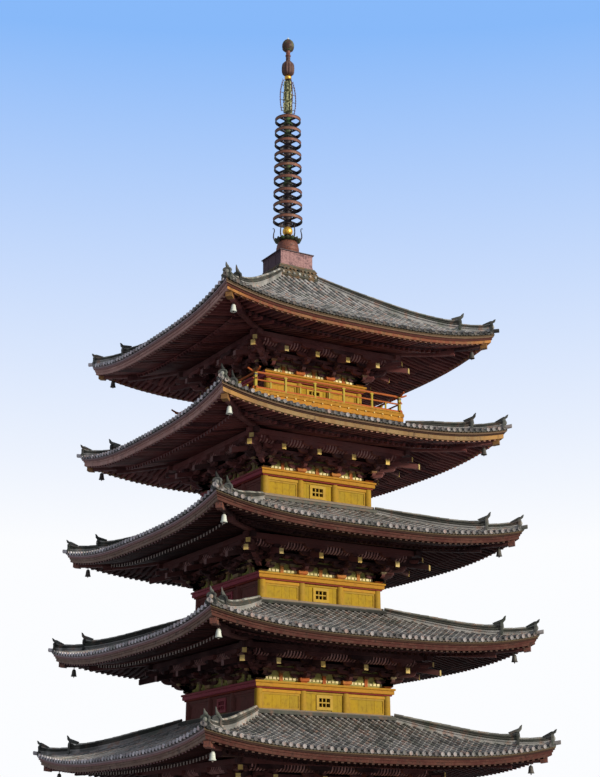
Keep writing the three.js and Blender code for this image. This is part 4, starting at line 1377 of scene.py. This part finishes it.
def upperFront(shape, storey):
    line = tower["postHalves"][storey]
    top = lintelBottom(storey) - frames["lineHeight"]
    foot = tower["eaveHeights"][storey - 1] + frames["sill"][1]
    half = line / 3 - frames["postRadius"] + 0.04
    face, back = line + frames["face"], line + frames["back"]
    rim = 0.09
    # plain bays: a head board, then boards in a frame
    headLow = top - 0.15
    for middle in (-line * 2 / 3, line * 2 / 3):
        shape.board(about(middle, half), (line + 0.1, back), (headLow, top), 3, 0.012)
        frameBoards(shape, about(middle, half), (foot, headLow), rim, face + 0.03, line - 0.01, 1)
        boardedPanel(shape, about(middle, half - rim), (foot + rim, headLow - rim), 4, face,
                     3 if storey == topStorey else 0)
    # window bay: boards round the opening, a frame with bars in it
    low, high = (tower["eaveHeights"][storey] + window[key] for key in ("low", "high"))
    wide, margin, headLow = window["half"], window["margin"], top - 0.1
    shape.board((-half, half), (line + 0.07, back), (headLow, top), 1, 0.012)
    for across in beside(0, wide + margin, half):
        boardedPanel(shape, across, (foot, headLow), 2, face)
    shape.board(about(0, wide + margin), (face, back), (high + margin, headLow), 0, 0.006)
    frameBoards(shape, about(0, wide + 0.07), (low - 0.02, high + 0.07), 0.14, face + 0.05, line - 0.12)
    inner = wide - window["frame"]
    bar, levels = window["bar"] / 2, (low + 0.1, high - 0.05)
    for across in (-inner / 3, inner / 3):
        shape.board(about(across, bar), (face + 0.01, line - 0.04), levels, 2, 0.006)
    middle = (low + 0.12 + high - 0.07) / 2
    shape.board((-inner, inner), (face + 0.02, line - 0.03), about(middle, window["crossBar"] / 2), 2, 0.006)


groundWindow = {"half": 0.72, "low": 2.2, "high": 3.35, "frame": 0.08, "bars": 9, "bar": 0.045}


def lowerFront(shape):
    line = tower["postHalves"][0]
    face, back = line + frames["face"], line + frames["back"]
    half = line / 3 - frames["postRadius"] + 0.04
    top = lintelBottom(0) - frames["lineHeight"]
    headLow, headTop = frames["head"]
    waistLow, waistTop = frames["waist"]
    wide, low, high = (groundWindow[key] for key in ("half", "low", "high"))
    size = groundWindow["bar"]
    over = high + 0.1
    for middle in (-line * 2 / 3, line * 2 / 3):
        boardedPanel(shape, about(middle, half), (tower["podiumTop"] + 0.2, waistLow), 5, face)
        shape.board(about(middle, half), (face, back), (over, headLow), 0, 0.01)
        for across in beside(middle, wide + 0.05, half):
            shape.board(across, (face, back), (waistTop, over), 0, 0.01)
        frameBoards(shape, about(middle, wide + 0.08), (low - 0.06, over), 0.16, face + 0.06, line - 0.12)
        inner = wide - groundWindow["frame"]
        for index in range(groundWindow["bars"]):
            across = middle - inner + (index + 0.5) * 2 * inner / groundWindow["bars"]
            ring = [(-size, 0.0), (0.0, -size), (size, 0.0), (0.0, size)]
            rings = [[(across + x, y - back, height) for x, y in ring]
                     for height in (low + 0.09, high - 0.05)]
            shape.rings(rings, 1, chance.random())
    for middle in (-line * 2 / 3, 0, line * 2 / 3):
        shape.board(about(middle, half), (face, back), (headTop, top), 0, 0.01)
    # jambs, head and threshold of the doorway
    wide = door["half"]
    frameBoards(shape, about(0, wide + door["jamb"]), (door["low"] - 0.06, door["high"] + 0.02), 0.16,
                face + 0.07, line - 0.04)
    for across in beside(0, wide + 0.12, half):
        shape.board(across, (face, back), (door["low"], headLow), 0, 0.01)


def makeFronts(storey):
    shape = Shape()
    if storey:
        upperFront(shape, storey)
    else:
        lowerFront(shape)
    # on the left side the boards take the copies painted dark for the shade there
    shape.around({0: 4, 1: 4, 2: 5, 3: 4})
    makePiece(f"wall_boards_{storey + 1}", shape,
              ("wall", "post", "frame", "headBoard", "leeWall", "leeLintel"))


def makeDoor(face, turn):
    # two plank leaves with battens, rows of nails, hinge straps and ring pulls
    shape = Shape()
    back = tower["postHalves"][0] - 0.05
    clearance = door["clearance"]
    low, high = door["low"] + clearance, door["high"] - clearance
    for side in (-1, 1):
        left, right = sorted((side * 0.006, side * (door["half"] - clearance)))
        plank, gap = (right - left) / 3, frames["jointGap"]
        for index in range(3):
            start = left + index * plank
            shape.board((start + gap, start + plank - gap), (back + 0.03, back - 0.05), (low, high), 0, 0.008)
        for level in (low + 0.12, (low + high) / 2, high - 0.2):
            batten = left + 0.01, right - 0.01
            shape.board(batten, (back + 0.055, back + 0.028), about(level, 0.06), 0, 0.01)
            for across in np.linspace(left + 0.08, right - 0.08, 5):
                nail = (0.054, 0.03), (0.07, 0.027), (0.082, 0.014)
                shape.stud(across, back, level, nail, 8, 1, chance.random())
        outside = right if side > 0 else left
        for level in (low + 0.3, high - 0.42):
            strap = sorted((outside, outside - side * 0.3))
            shape.board(strap, (back + 0.04, back + 0.028), about(level, 0.035), 1, 0.004)
        # ring pull on a round plate
        across, level = side * 0.12, (low + high) / 2 + 0.25
        shape.stud(across, back, level, ((0.03, 0.06), (0.04, 0.058), (0.046, 0.045)), 14, 1, 0.5)
        hoop(shape, (across, -back - 0.055, level - 0.05), 0.05, 0.008, 7, 17)
    shape.turnBy(turn)
    makePiece(f"plank_door_{face}", shape, ("doorTimber", "iron"), [f"door_{face}"])


for storey in storeys:
    makeFrame(storey)
    makeFronts(storey)
for turn, face in enumerate(("front", "right", "back", "left")):
    makeDoor(face, turn)
print("pagoda: frames, fronts and doors made")


balcony = {
    "top": 1.92,
    "plank": 0.2,
    "thickness": 0.07,
    "edgeDepth": 0.4,
    "edgeWidth": 0.12,
    "plankGap": 0.003,
    "endSpacing": 0.5,       # between the painted ends of the joists
    "joistSpacing": 0.9,
}
railing = {
    "half": 4.12,
    "cross": 0.44,           # how far the bars run on past the corner post
    "radius": 0.052,
    "foot": 0.07,
    "footSize": 0.1,
    "top": 0.84,
    "middle": 0.46,
    "upturns": (0.15, 0.07),
    "bays": 5,
}


def makeBalcony():
    # boards laid outwards on an edge beam, with joists under them
    shape = Shape()
    top = tower["eaveHeights"][topStorey - 1] + balcony["top"]
    outer, inner = tower["balconyHalf"], tower["postHalves"][topStorey] + frames["sillOuter"] + 0.01
    under, gap = top - balcony["thickness"], balcony["plankGap"]
    count = int(outer / balcony["plank"])
    for index in range(-count, count):
        left, right = index * balcony["plank"], (index + 1) * balcony["plank"]
        start = max(inner, min(abs(left), abs(right)) + 0.002)
        reach = outer - 0.02 + chance.random() * 0.012
        if reach - start > 0.05:
            shape.board((left + gap, right - gap), (reach, start), (under, top), 0, 0.006)
    shape.band(outer - 0.03, outer - 0.03 - balcony["edgeWidth"], under - 0.16, under, 0, 0.012)
    shape.band(outer - 0.06, outer - 0.2, under - balcony["edgeDepth"], under - 0.17, 2, 0.015)
    shape.band(inner + 0.12, inner, under - 0.16, under, 1, 0.01)
    # painted ends of the joists between the edge board and the beam
    low = under - 0.14
    for across in np.arange(-4.0, 4.1, balcony["endSpacing"]):
        shape.board(about(across, 0.035), (outer - 0.01, outer - 0.15), (low - 0.065, low), 3, 0.008)
    for across in np.arange(-3.6, 3.7, balcony["joistSpacing"]):
        shape.board(about(across, 0.06), (outer - 0.16, max(inner, abs(across)) + 0.05), (low, under), 1)
    shape.around()
    makePiece("balcony_boards", shape, ("deckEdge", "darkTimber", "deckBeam", "tailEnd"),
              ["balcony_5"])


def makeRailing():
    shape = Shape()
    deck = tower["eaveHeights"][topStorey - 1] + balcony["top"]
    half, radius = railing["half"], railing["radius"]
    top, middle, foot = (deck + railing[key] for key in ("top", "middle", "foot"))
    reach, bend = half + railing["cross"], half - 0.1
    stops = (-reach, -reach + 0.12, -reach + 0.26, -bend, 0, bend, reach - 0.26, reach - 0.12, reach)
    for height, rise, thick, extent in ((top, railing["upturns"][0], radius, 1.0),
                                        (middle, railing["upturns"][1], radius * 0.8, 0.94)):
        shares = [max(0.0, (abs(stop) - bend) / (reach - bend)) ** 2 for stop in stops]
        path = [(stop * (extent if abs(stop) > bend else 1), -half, height + rise * share)
                for stop, share in zip(stops, shares)]
        radii = [thick * (1 - 0.2 * share) for share in shares]
        shape.bar(path, np.array([0, 1, 0]), radii, 0, 10, chance.random())
    size = railing["footSize"]
    shape.beam((-half - 0.16, -half, foot), (half + 0.16, -half, foot), size, size, 0, 0.012)
    bay = 2 * half / railing["bays"]
    for index in range(railing["bays"]):
        across = -half + index * bay
        wide = 0.052 if index else 0.068
        shape.board(about(across, wide), (half + wide, half - wide), (deck, top - radius * 0.5), 1, 0.01)
        if index:
            # saddle under the top rail
            shape.board(about(across, 0.1), (half + 0.045, half - 0.045), (top - 0.1, top - 0.045), 1, 0.01)
        # short strut in the middle of each bay
        levels = deck + 0.1, middle - 0.03
        shape.board(about(across + bay / 2, 0.04), (half + 0.035, half - 0.035), levels, 1, 0.008)
    # metal cap on the corner post
    shape.board(about(-half, 0.075), (half + 0.075, half - 0.075), (top - 0.16, top - 0.07), 2, 0.012)
    shape.around()
    makePiece("railing_bars", shape, ("rail", "railPost", "iron"), ["railing_5"])


makeBalcony()
makeRailing()
print("pagoda: balcony built")


finial = {
    "basin": {"half": 0.95, "lip": 1.02, "low": 32.1, "lipLow": 32.86, "top": 32.92},
    "ringHeights": (35.05, 35.83, 36.58, 37.34, 38.05, 38.77, 39.51, 40.17, 40.89),
    "ringRadii": (0.79, 0.7),
    "ringHeight": 0.2, "ringThickness": 0.05,
    "spokes": (15, 105, 195, 285),      # degrees round from the right-hand side
    "hubRadius": 0.22, "shaftRadius": 0.14,
    # hub's share of the radius, and height from the ring's middle
    "hub": ((1.12, -0.235), (1.16, -0.205), (0.92, -0.17), (0.88, 0.0), (0.92, 0.13), (1.06, 0.16),
            (1.06, 0.185)),
    "greenHubs": (3, 4, 7, 8),
    "petals": 8, "leaves": 6,
    "ball": {"radius": 0.27, "height": 34.42},
    "flameFoot": 41.34, "flameTop": 43.38,
    "flameFins": 4, "flameStages": 3, "scrolls": 4, "licks": 13,
    "wheelRibs": 12, "ribDepth": 0.12,
}


def makeBasin():
    # sheet-metal box with folded seams on each face, a foot moulding and a thin lid that overhangs
    shape = Shape()
    half, lip, low, lipLow, top = (finial["basin"][key] for key in ("half", "lip", "low", "lipLow", "top"))
    footTop, lipFoot = low + 0.09, lipLow - 0.07
    shape.band(half, half - 0.13, low, lipLow, 0, 0.012)
    shape.band(half + 0.02, half, low, footTop, 0, 0.006)
    shape.band(half + 0.016, half, lipFoot, lipLow, 0, 0.006)
    for across in (-half * 0.42, half * 0.42):
        shape.board(about(across, 0.008), (half + 0.012, half - 0.01), (footTop, lipFoot), 0, 0.003)
    for across in np.linspace(-half + 0.08, half - 0.08, 12):
        for height in (low + 0.045, lipLow - 0.035):
            shape.stud(across, half, height, ((0.015, 0.014), (0.026, 0.008)), 6, 0, 0.5)
    shape.band(lip, 0.002, lipLow, top, 1, 0.012)
    # the left face takes the copy painted dark for its shade
    shape.around({0: 2})
    makePiece("dew_basin_metal", shape, ("basin", "basinLip", "leeBasin"), ["dew_basin"])


def makeBowl():
    shape = Shape()
    profile = [
        (0.64, 32.93), (0.64, 33.01), (0.58, 33.03), (0.57, 33.19), (0.6, 33.22), (0.61, 33.27),
        (0.605, 33.37), (0.595, 33.45), (0.575, 33.47), (0.58, 33.51), (0.56, 33.62), (0.53, 33.7),
        (0.48, 33.77), (0.4, 33.81), (0.3, 33.83),
    ]
    shape.turned(profile, 40)
    makePiece("bowl_bronze", shape, ("bronze",), ["inverted_bowl"], 50)


def axes(angle):
    # directions away from the axis and across that
    cos, sin = math.cos(angle), math.sin(angle)
    return np.array([cos, sin, 0.0]), np.array([-sin, cos, 0.0])


def petal(shape, angle, path, widths, thick):
    # curved leaf that leans out from the axis; path points are (out, height)
    outward, aside = axes(angle)
    dish = (-1, 0), (-0.5, -0.175), (0, -0.25), (0.5, -0.175), (1, 0)
    rings = []
    for (out, height), heading, wide in zip(path, headings(path), widths):
        normal = heading[0] * np.array([0, 0, 1.0]) - heading[1] * outward
        middle = out * outward + (0, 0, height)
        ring = [middle + side * wide * aside + deep * wide * normal for side, deep in dish]
        back = [middle + side * wide * 0.94 * aside + (deep * wide + thick) * normal for side, deep in dish]
        rings.append(ring + back[::-1])
    shape.rings(rings, 0, chance.random())


def wire(shape, angle, points, radii, look):
    # round bar bent in the upright plane through the axis at that angle; points are (out, height)
    outward, aside = axes(angle)
    path = [out * outward + (0, 0, height) for out, height in points]
    shape.bar(path, aside, radii, look, 8, chance.random())


def makeLotus():
    # shallow dish edged with small petals, thin curled leaves that stand round it, and a gilt ball
    shape = Shape()
    shape.turned([(0.3, 33.8), (0.45, 33.8), (0.6, 33.83), (0.66, 33.87), (0.67, 33.9), (0.63, 33.91),
                  (0.5, 33.88), (0.2, 33.88), (0.13, 33.92)], 40)
    count = finial["petals"]
    for index in range(count * 2):
        petal(shape, math.radians(15) + index * math.pi / count,
              [(0.58, 33.82), (0.66, 33.85), (0.7, 33.89), (0.73, 33.94)], (0.1, 0.11, 0.08, 0.012), 0.02)
    count = finial["leaves"]
    for index in range(count):
        wire(shape, math.radians(30) + index * 2 * math.pi / count,
             [(0.6, 33.86), (0.7, 33.93), (0.75, 34.08), (0.74, 34.28), (0.7, 34.44), (0.71, 34.56),
              (0.77, 34.6), (0.79, 34.54)], (0.03, 0.036, 0.034, 0.03, 0.028, 0.026, 0.02, 0.01), 2)
    radius, height = finial["ball"]["radius"], finial["ball"]["height"]
    swings = np.linspace(-1.35, 1.35, 15)
    profile = [(radius * math.cos(swing), height + radius * math.sin(swing)) for swing in swings]
    shape.turned(profile, 32, look=1)
    shape.turned([(0.15, 33.9), (0.12, 34.0), (0.12, 34.16), (0.2, 34.2)], 16, look=2)
    shape.turned([(0.1, 34.55), (0.15, 34.78), (0.14, 34.82)], 16, look=2)
    makePiece("lotus_bronze", shape, ("patina", "gold", "darkBronze"), ["lotus_cup"], 50)


def makeRings():
    shape = Shape()
    heights, shaft, hub = finial["ringHeights"], finial["shaftRadius"], finial["hubRadius"]
    shape.turned([(shaft, height) for height in (34.7, 36, 37.5, 39, 40.5, finial["flameFoot"])], 20, look=3)
    thick, tall, bead = finial["ringThickness"], finial["ringHeight"] / 2, 0.012
    for index, (height, radius) in enumerate(zip(heights, np.linspace(*finial["ringRadii"], len(heights)))):
        # rounded band with a bead along its upper and lower edges
        low, high, sunk = height - tall, height + tall, radius - bead
        outline = [
            (sunk, low), (radius, low + 0.01), (radius, low + 0.022), (sunk, low + 0.03), (sunk, high - 0.03),
            (radius, high - 0.022), (radius, high - 0.01), (sunk, high), (radius - thick, high),
            (radius - thick, low), (sunk, low),
        ]
        for start, stop, look in ((0, 4, 3), (3, 5, 0), (4, 8, 3), (7, 11, 3)):
            shape.turned(outline[start:stop], 56, look=look, ends=(False, False), tone=chance.random())
        middle = (0, 0, height)
        for angle in finial["spokes"]:
            outward = axes(math.radians(angle))[0]
            reach = radius - thick + 0.005
            shape.beam(outward * 0.12 + middle, outward * reach + middle, 0.075, 0.11, 3, 0.015)
        profile = [(hub * share, height + rise) for share, rise in finial["hub"]]
        profile = [(shaft, height - 0.25), *profile, (shaft, height + 0.2)]
        shape.turned(profile, 24, look=2 if index in finial["greenHubs"] else 1, ends=(False, False))
    makePiece("ring_wheels", shape, ("ringBronze", "darkBronze", "patina", "darkBronze"),
              ["nine_rings"], 40)


def makeFlame():
    # fins of open scrollwork round the shaft: close scrolls inside, a fine outline of licks outside
    shape = Shape()
    foot, top, stages = finial["flameFoot"], finial["flameTop"], finial["flameStages"]
    shape.turned([(0.1, foot - 0.06), (0.13, foot), (0.1, foot + 0.06), (0.085, foot + 1),
                  (0.075, top - 0.06), (0.1, top), (0.08, top + 0.05)], 20, look=1)
    tall = (top - foot - 0.1) / stages
    for fin in range(finial["flameFins"]):
        angle = fin * 2 * math.pi / finial["flameFins"]
        for stage in range(stages):
            low = foot + 0.06 + stage * tall
            high = low + tall - 0.07
            inner = 0.26 - 0.012 * stage
            core = inner * 0.78
            if fin == 0:
                shape.turned([(core * 0.7, low - 0.01), (core, low + 0.03), (core * 0.85, low + tall * 0.3),
                              (core, low + tall * 0.5), (core * 0.85, low + tall * 0.7), (core, high - 0.03),
                              (core * 0.7, high + 0.01)], 16, tone=0.5)
            wire(shape, angle, [(0.06, low), (inner * 0.8, low), (inner, low + 0.08), (inner, high - 0.08),
                                (inner * 0.8, high), (0.06, high)], (0.02, 0.02, 0.024, 0.024, 0.02, 0.02), 0)
            pitch = (high - low - 0.06) / finial["scrolls"]
            radius = inner * 0.3
            for index in range(finial["scrolls"]):
                height = low + 0.03 + (index + 0.5) * pitch
                way = 1 if index % 2 else -1
                curl = [(0.07 + radius * 1.2 + radius * size * math.cos(swing),
                         height + way * radius * size * math.sin(swing))
                        for swing, size in zip(np.linspace(-2.4, 3.4, 15), np.linspace(1.1, 0.35, 15))]
                wire(shape, angle, curl, [0.024] * 13 + [0.02, 0.012], 2 if index % 2 else 1)
        heights = np.linspace(foot + 0.12, top - 0.1, finial["licks"])
        reach = 0.47 * np.sin(math.pi * (0.22 + 0.66 * (heights - foot) / (top - foot))) ** 0.6
        path = [(0.1, foot + 0.02), *zip(reach, heights), (0.1, top + 0.02)]
        wire(shape, angle, path, [0.016] * len(path), 2)
        for index, (out, height) in enumerate(zip(reach, heights)):
            lick = [(out - 0.01, height - 0.05), (out + 0.035, height), (out + 0.02, height + 0.05),
                    (out + 0.05, height + 0.1)]
            wire(shape, angle, lick, (0.016, 0.024, 0.016, 0.005), 3)
            if index % 3 == 1:
                wire(shape, angle, [(0.24, height - 0.04), ((0.24 + out) / 2, height + 0.03), (out, height)],
                     (0.014, 0.018, 0.014), 2)
    makePiece("flame_scrolls", shape, ("flameBronze", "patina", "darkBronze", "bronze"),
              ["water_flame"], 60)


def ribbed(shape, profile, sides):
    # the same as turned, with upright ribs where it is wide
    cos, sin = circle(sides)
    turns = np.arange(sides) / sides * 2 * math.pi
    wave = 1 - finial["ribDepth"] * (0.5 + 0.5 * np.cos(turns * finial["wheelRibs"]))
    rings = []
    for radius, height in profile:
        wide = radius * (wave if radius > 0.15 else 1)
        rings.append(np.column_stack([wide * cos, wide * sin, np.full(sides, height)]))
    shape.rings(rings, 0, chance.random())


def makeWheel():
    shape = Shape()
    shape.turned([(0.06, 43.36), (0.14, 43.39), (0.185, 43.45), (0.195, 43.51), (0.165, 43.59),
                  (0.08, 43.64)], 24, look=1)
    shape.turned([(0.1, 43.32), (0.15, 43.34), (0.15, 43.38), (0.1, 43.4)], 20, look=2)
    ribbed(shape, [
        (0.12, 43.64), (0.22, 43.66), (0.3, 43.73), (0.345, 43.86), (0.36, 44.02), (0.35, 44.18),
        (0.315, 44.33), (0.23, 44.44), (0.14, 44.5), (0.12, 44.54),
    ], 72)
    shape.turned([(0.12, 44.5), (0.125, 44.6), (0.12, 44.8)], 20)
    makePiece("dragon_wheel_bronze", shape, ("wheelBronze", "gold", "darkBronze"),
              ["dragon_wheel"], 60)


def makeJewel():
    # ball with a drawn-out tip, held in a small cup of petals on a thin neck
    shape = Shape()
    shape.turned([(0.12, 44.8), (0.15, 44.83), (0.15, 44.87), (0.12, 44.9), (0.115, 45.05), (0.13, 45.12),
                  (0.15, 45.17)], 24, look=1)
    for index in range(8):
        petal(shape, index * math.pi / 4, [(0.1, 45.13), (0.19, 45.16), (0.27, 45.22), (0.33, 45.32)],
              (0.05, 0.08, 0.07, 0.01), 0.016)
    shape.turned([
        (0.12, 45.15), (0.24, 45.19), (0.31, 45.29), (0.335, 45.43), (0.325, 45.56), (0.275, 45.69),
        (0.19, 45.79), (0.09, 45.85), (0.045, 45.9),
    ], 32)
    # the tip takes the pale bell colour as a painted highlight
    shape.turned([(0.075, 45.83), (0.085, 45.86), (0.06, 45.9), (0.03, 45.95), (0.01, 46.0)], 16, look=2)
    makePiece("jewel_bronze", shape, ("jewelBronze", "bronze", "bell"), ["jewel"], 60)


for make in (makeBasin, makeBowl, makeLotus, makeRings, makeFlame, makeWheel, makeJewel):
    make()
print("pagoda: finial cast")


podium = {
    "half": 5.3,
    "plinth": 0.16,          # height of the course at the foot
    "corner": 0.2,           # width of the corner posts
    "slabs": 8,
    "coping": 0.18,
    "copingWidth": 0.55,
    "copingStones": 7,
    "overhang": 0.06,
    "gap": 0.006,
    "paving": 0.8,
    "risers": 5,
    "tread": 0.3,
    "stepStones": ((-1.3, -0.45), (-0.45, 0.5), (0.5, 1.3)),
}


def makePodium():
    # facing slabs between corner posts, coping stones, paving and a flight of steps on each side
    shape = Shape()
    half, gap, plinth, corner = (podium[key] for key in ("half", "gap", "plinth", "corner"))
    top = tower["podiumTop"]
    copingLow = top - podium["coping"]
    shape.band(half - 0.08, half - 1.0, 0.0, copingLow, 1)
    shape.band(half, half - 0.3, 0.0, plinth, 0, 0.012)
    width = 2 * (half - corner) / podium["slabs"]
    for index in range(podium["slabs"]):
        left = corner - half + index * width
        across, levels = (left + gap, left + width - gap), (plinth + gap, copingLow - gap)
        shape.board(across, (half - 0.03, half - 0.14), levels, 0, 0.01)
    shape.board((-half, corner - half), (half, half - corner), (plinth, copingLow), 0, 0.015)
    outer = half + podium["overhang"]
    inner = outer - podium["copingWidth"]
    stones = podium["copingStones"]
    width = 2 * outer / stones
    for index in range(stones):
        left = index * width - outer
        right = inner if index == stones - 1 else left + width
        shape.board((left + gap * (index > 0), right - gap), (outer, inner), (copingLow, top), 0, 0.014)
    # paving in rows that run round the tower
    count = int(inner / podium["paving"])
    for row in range(2):
        front = inner - row * podium["paving"]
        back = front - podium["paving"]
        pieces = 2 * count - 2 * row
        wide = (front + back) / pieces
        for index in range(pieces):
            left = index * wide - front
            levels = copingLow, top - 0.004 - 0.004 * chance.random()
            shape.board((left + gap, left + wide - gap), (front - gap, back + gap), levels, 0, 0.006)
    riser, tread = top / podium["risers"], podium["tread"]
    for index in range(1, podium["risers"]):
        front = half + tread * (podium["risers"] - index)
        for left, right in podium["stepStones"]:
            shape.board((left + gap, right - gap), (front, front - tread - 0.12),
                        (riser * (index - 1) + 0.004, riser * index), 0, 0.014)
    shape.around()
    core = half - 0.9
    shape.box((-core, -core, 0.0), (core, core, copingLow), 1)
    makePiece("podium_stones", shape, ("stone", "stoneCore"), ["podium"])


makePodium()
print("pagoda: podium laid")


# the part's own nodes that stay in view: walls, floors, the heart pillar and the frame under the finial
kept = {
    "bareWall": [f"walls_{number}" for number in range(1, 6)],
    "bareFloor": [f"floor_{number}" for number in range(2, 6)],
    "bareTimber": ["heart_pillar", "roof_frame"],
}
for look, names in kept.items():
    for name in names:
        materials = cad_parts[name].data.materials
        materials.clear()
        materials.append(finishes[look])
print("pagoda: kept nodes finished")


def makeFloor():
    # plain pale ground for the picture alone
    mesh = bpy.data.meshes.new("studio_floor")
    half, level = 60, -0.002
    mesh.from_pydata([(x, y, level) for x, y in corners(-half, half, -half, half)], [], [(0, 1, 2, 3)])
    finish = Finish("studio_floor", 0.9)
    colour = finish.mix((0.47, 0.46, 0.45), (0.52, 0.51, 0.50), finish.noise(0.4, 2))
    mesh.materials.append(finish.wear(colour))
    floor = bpy.data.objects.new("studio_floor", mesh)
    scene.collection.objects.link(floor)


studio = {
    "backdrop": (0.485, 0.823, 0.25),   # way from the tower to the middle of the lit backdrop
    "backdropEdge": (0.78, 0.94),       # how near that way the backdrop starts and is full
    "bright": (0.246, 0.485, 0.947),
    "horizon": (0.97, 0.98, 1.0),
    "horizonEdge": (0.2, 0.5),
    "dim": (0.42, 0.45, 0.53),
    "toSun": (0.40, -0.87, 0.175),
    "sunEnergy": 4.0,
    "sunColour": (1, 0.93, 0.80),
    "sunWidth": 3,                      # degrees
}


class Sky(Finish):
    # the light from all round, made from the same nodes
    def __init__(self):
        scene.world = bpy.data.worlds.new("studio")
        scene.world.use_nodes = True
        self.tree = scene.world.node_tree


def makeLight():
    # lit backdrop behind the tower, faint fill elsewhere, and a low warm sun on the right-hand side
    sky = Sky()
    place = sky.add("ShaderNodeTexCoord", output="Generated")
    facing = sky.add("ShaderNodeVectorMath", {"operation": "DOT_PRODUCT"},
                     {0: place, 1: Vector(studio["backdrop"]).normalized()}, "Value")
    level = sky.add("ShaderNodeSeparateXYZ", {}, {0: place}, "Z")
    start, end = studio["horizonEdge"]
    rise = sky.add("ShaderNodeMapRange", {}, {"Value": level, "From Min": start, "From Max": end})
    colour = sky.mix(studio["dim"], sky.mix(studio["horizon"], studio["bright"], rise),
                     sky.spread(facing, *studio["backdropEdge"]))
    sky.feed(sky.tree.nodes["Background"].inputs["Color"], colour)
    sun = bpy.data.objects.new("sun", bpy.data.lights.new("sun", "SUN"))
    scene.collection.objects.link(sun)
    sun.data.energy = studio["sunEnergy"]
    sun.data.color = studio["sunColour"]
    sun.data.angle = math.radians(studio["sunWidth"])
    sun.rotation_euler = (-Vector(studio["toSun"])).to_track_quat("-Z", "Y").to_euler()
    scene.view_settings.view_transform = "Standard"


makeFloor()
makeLight()
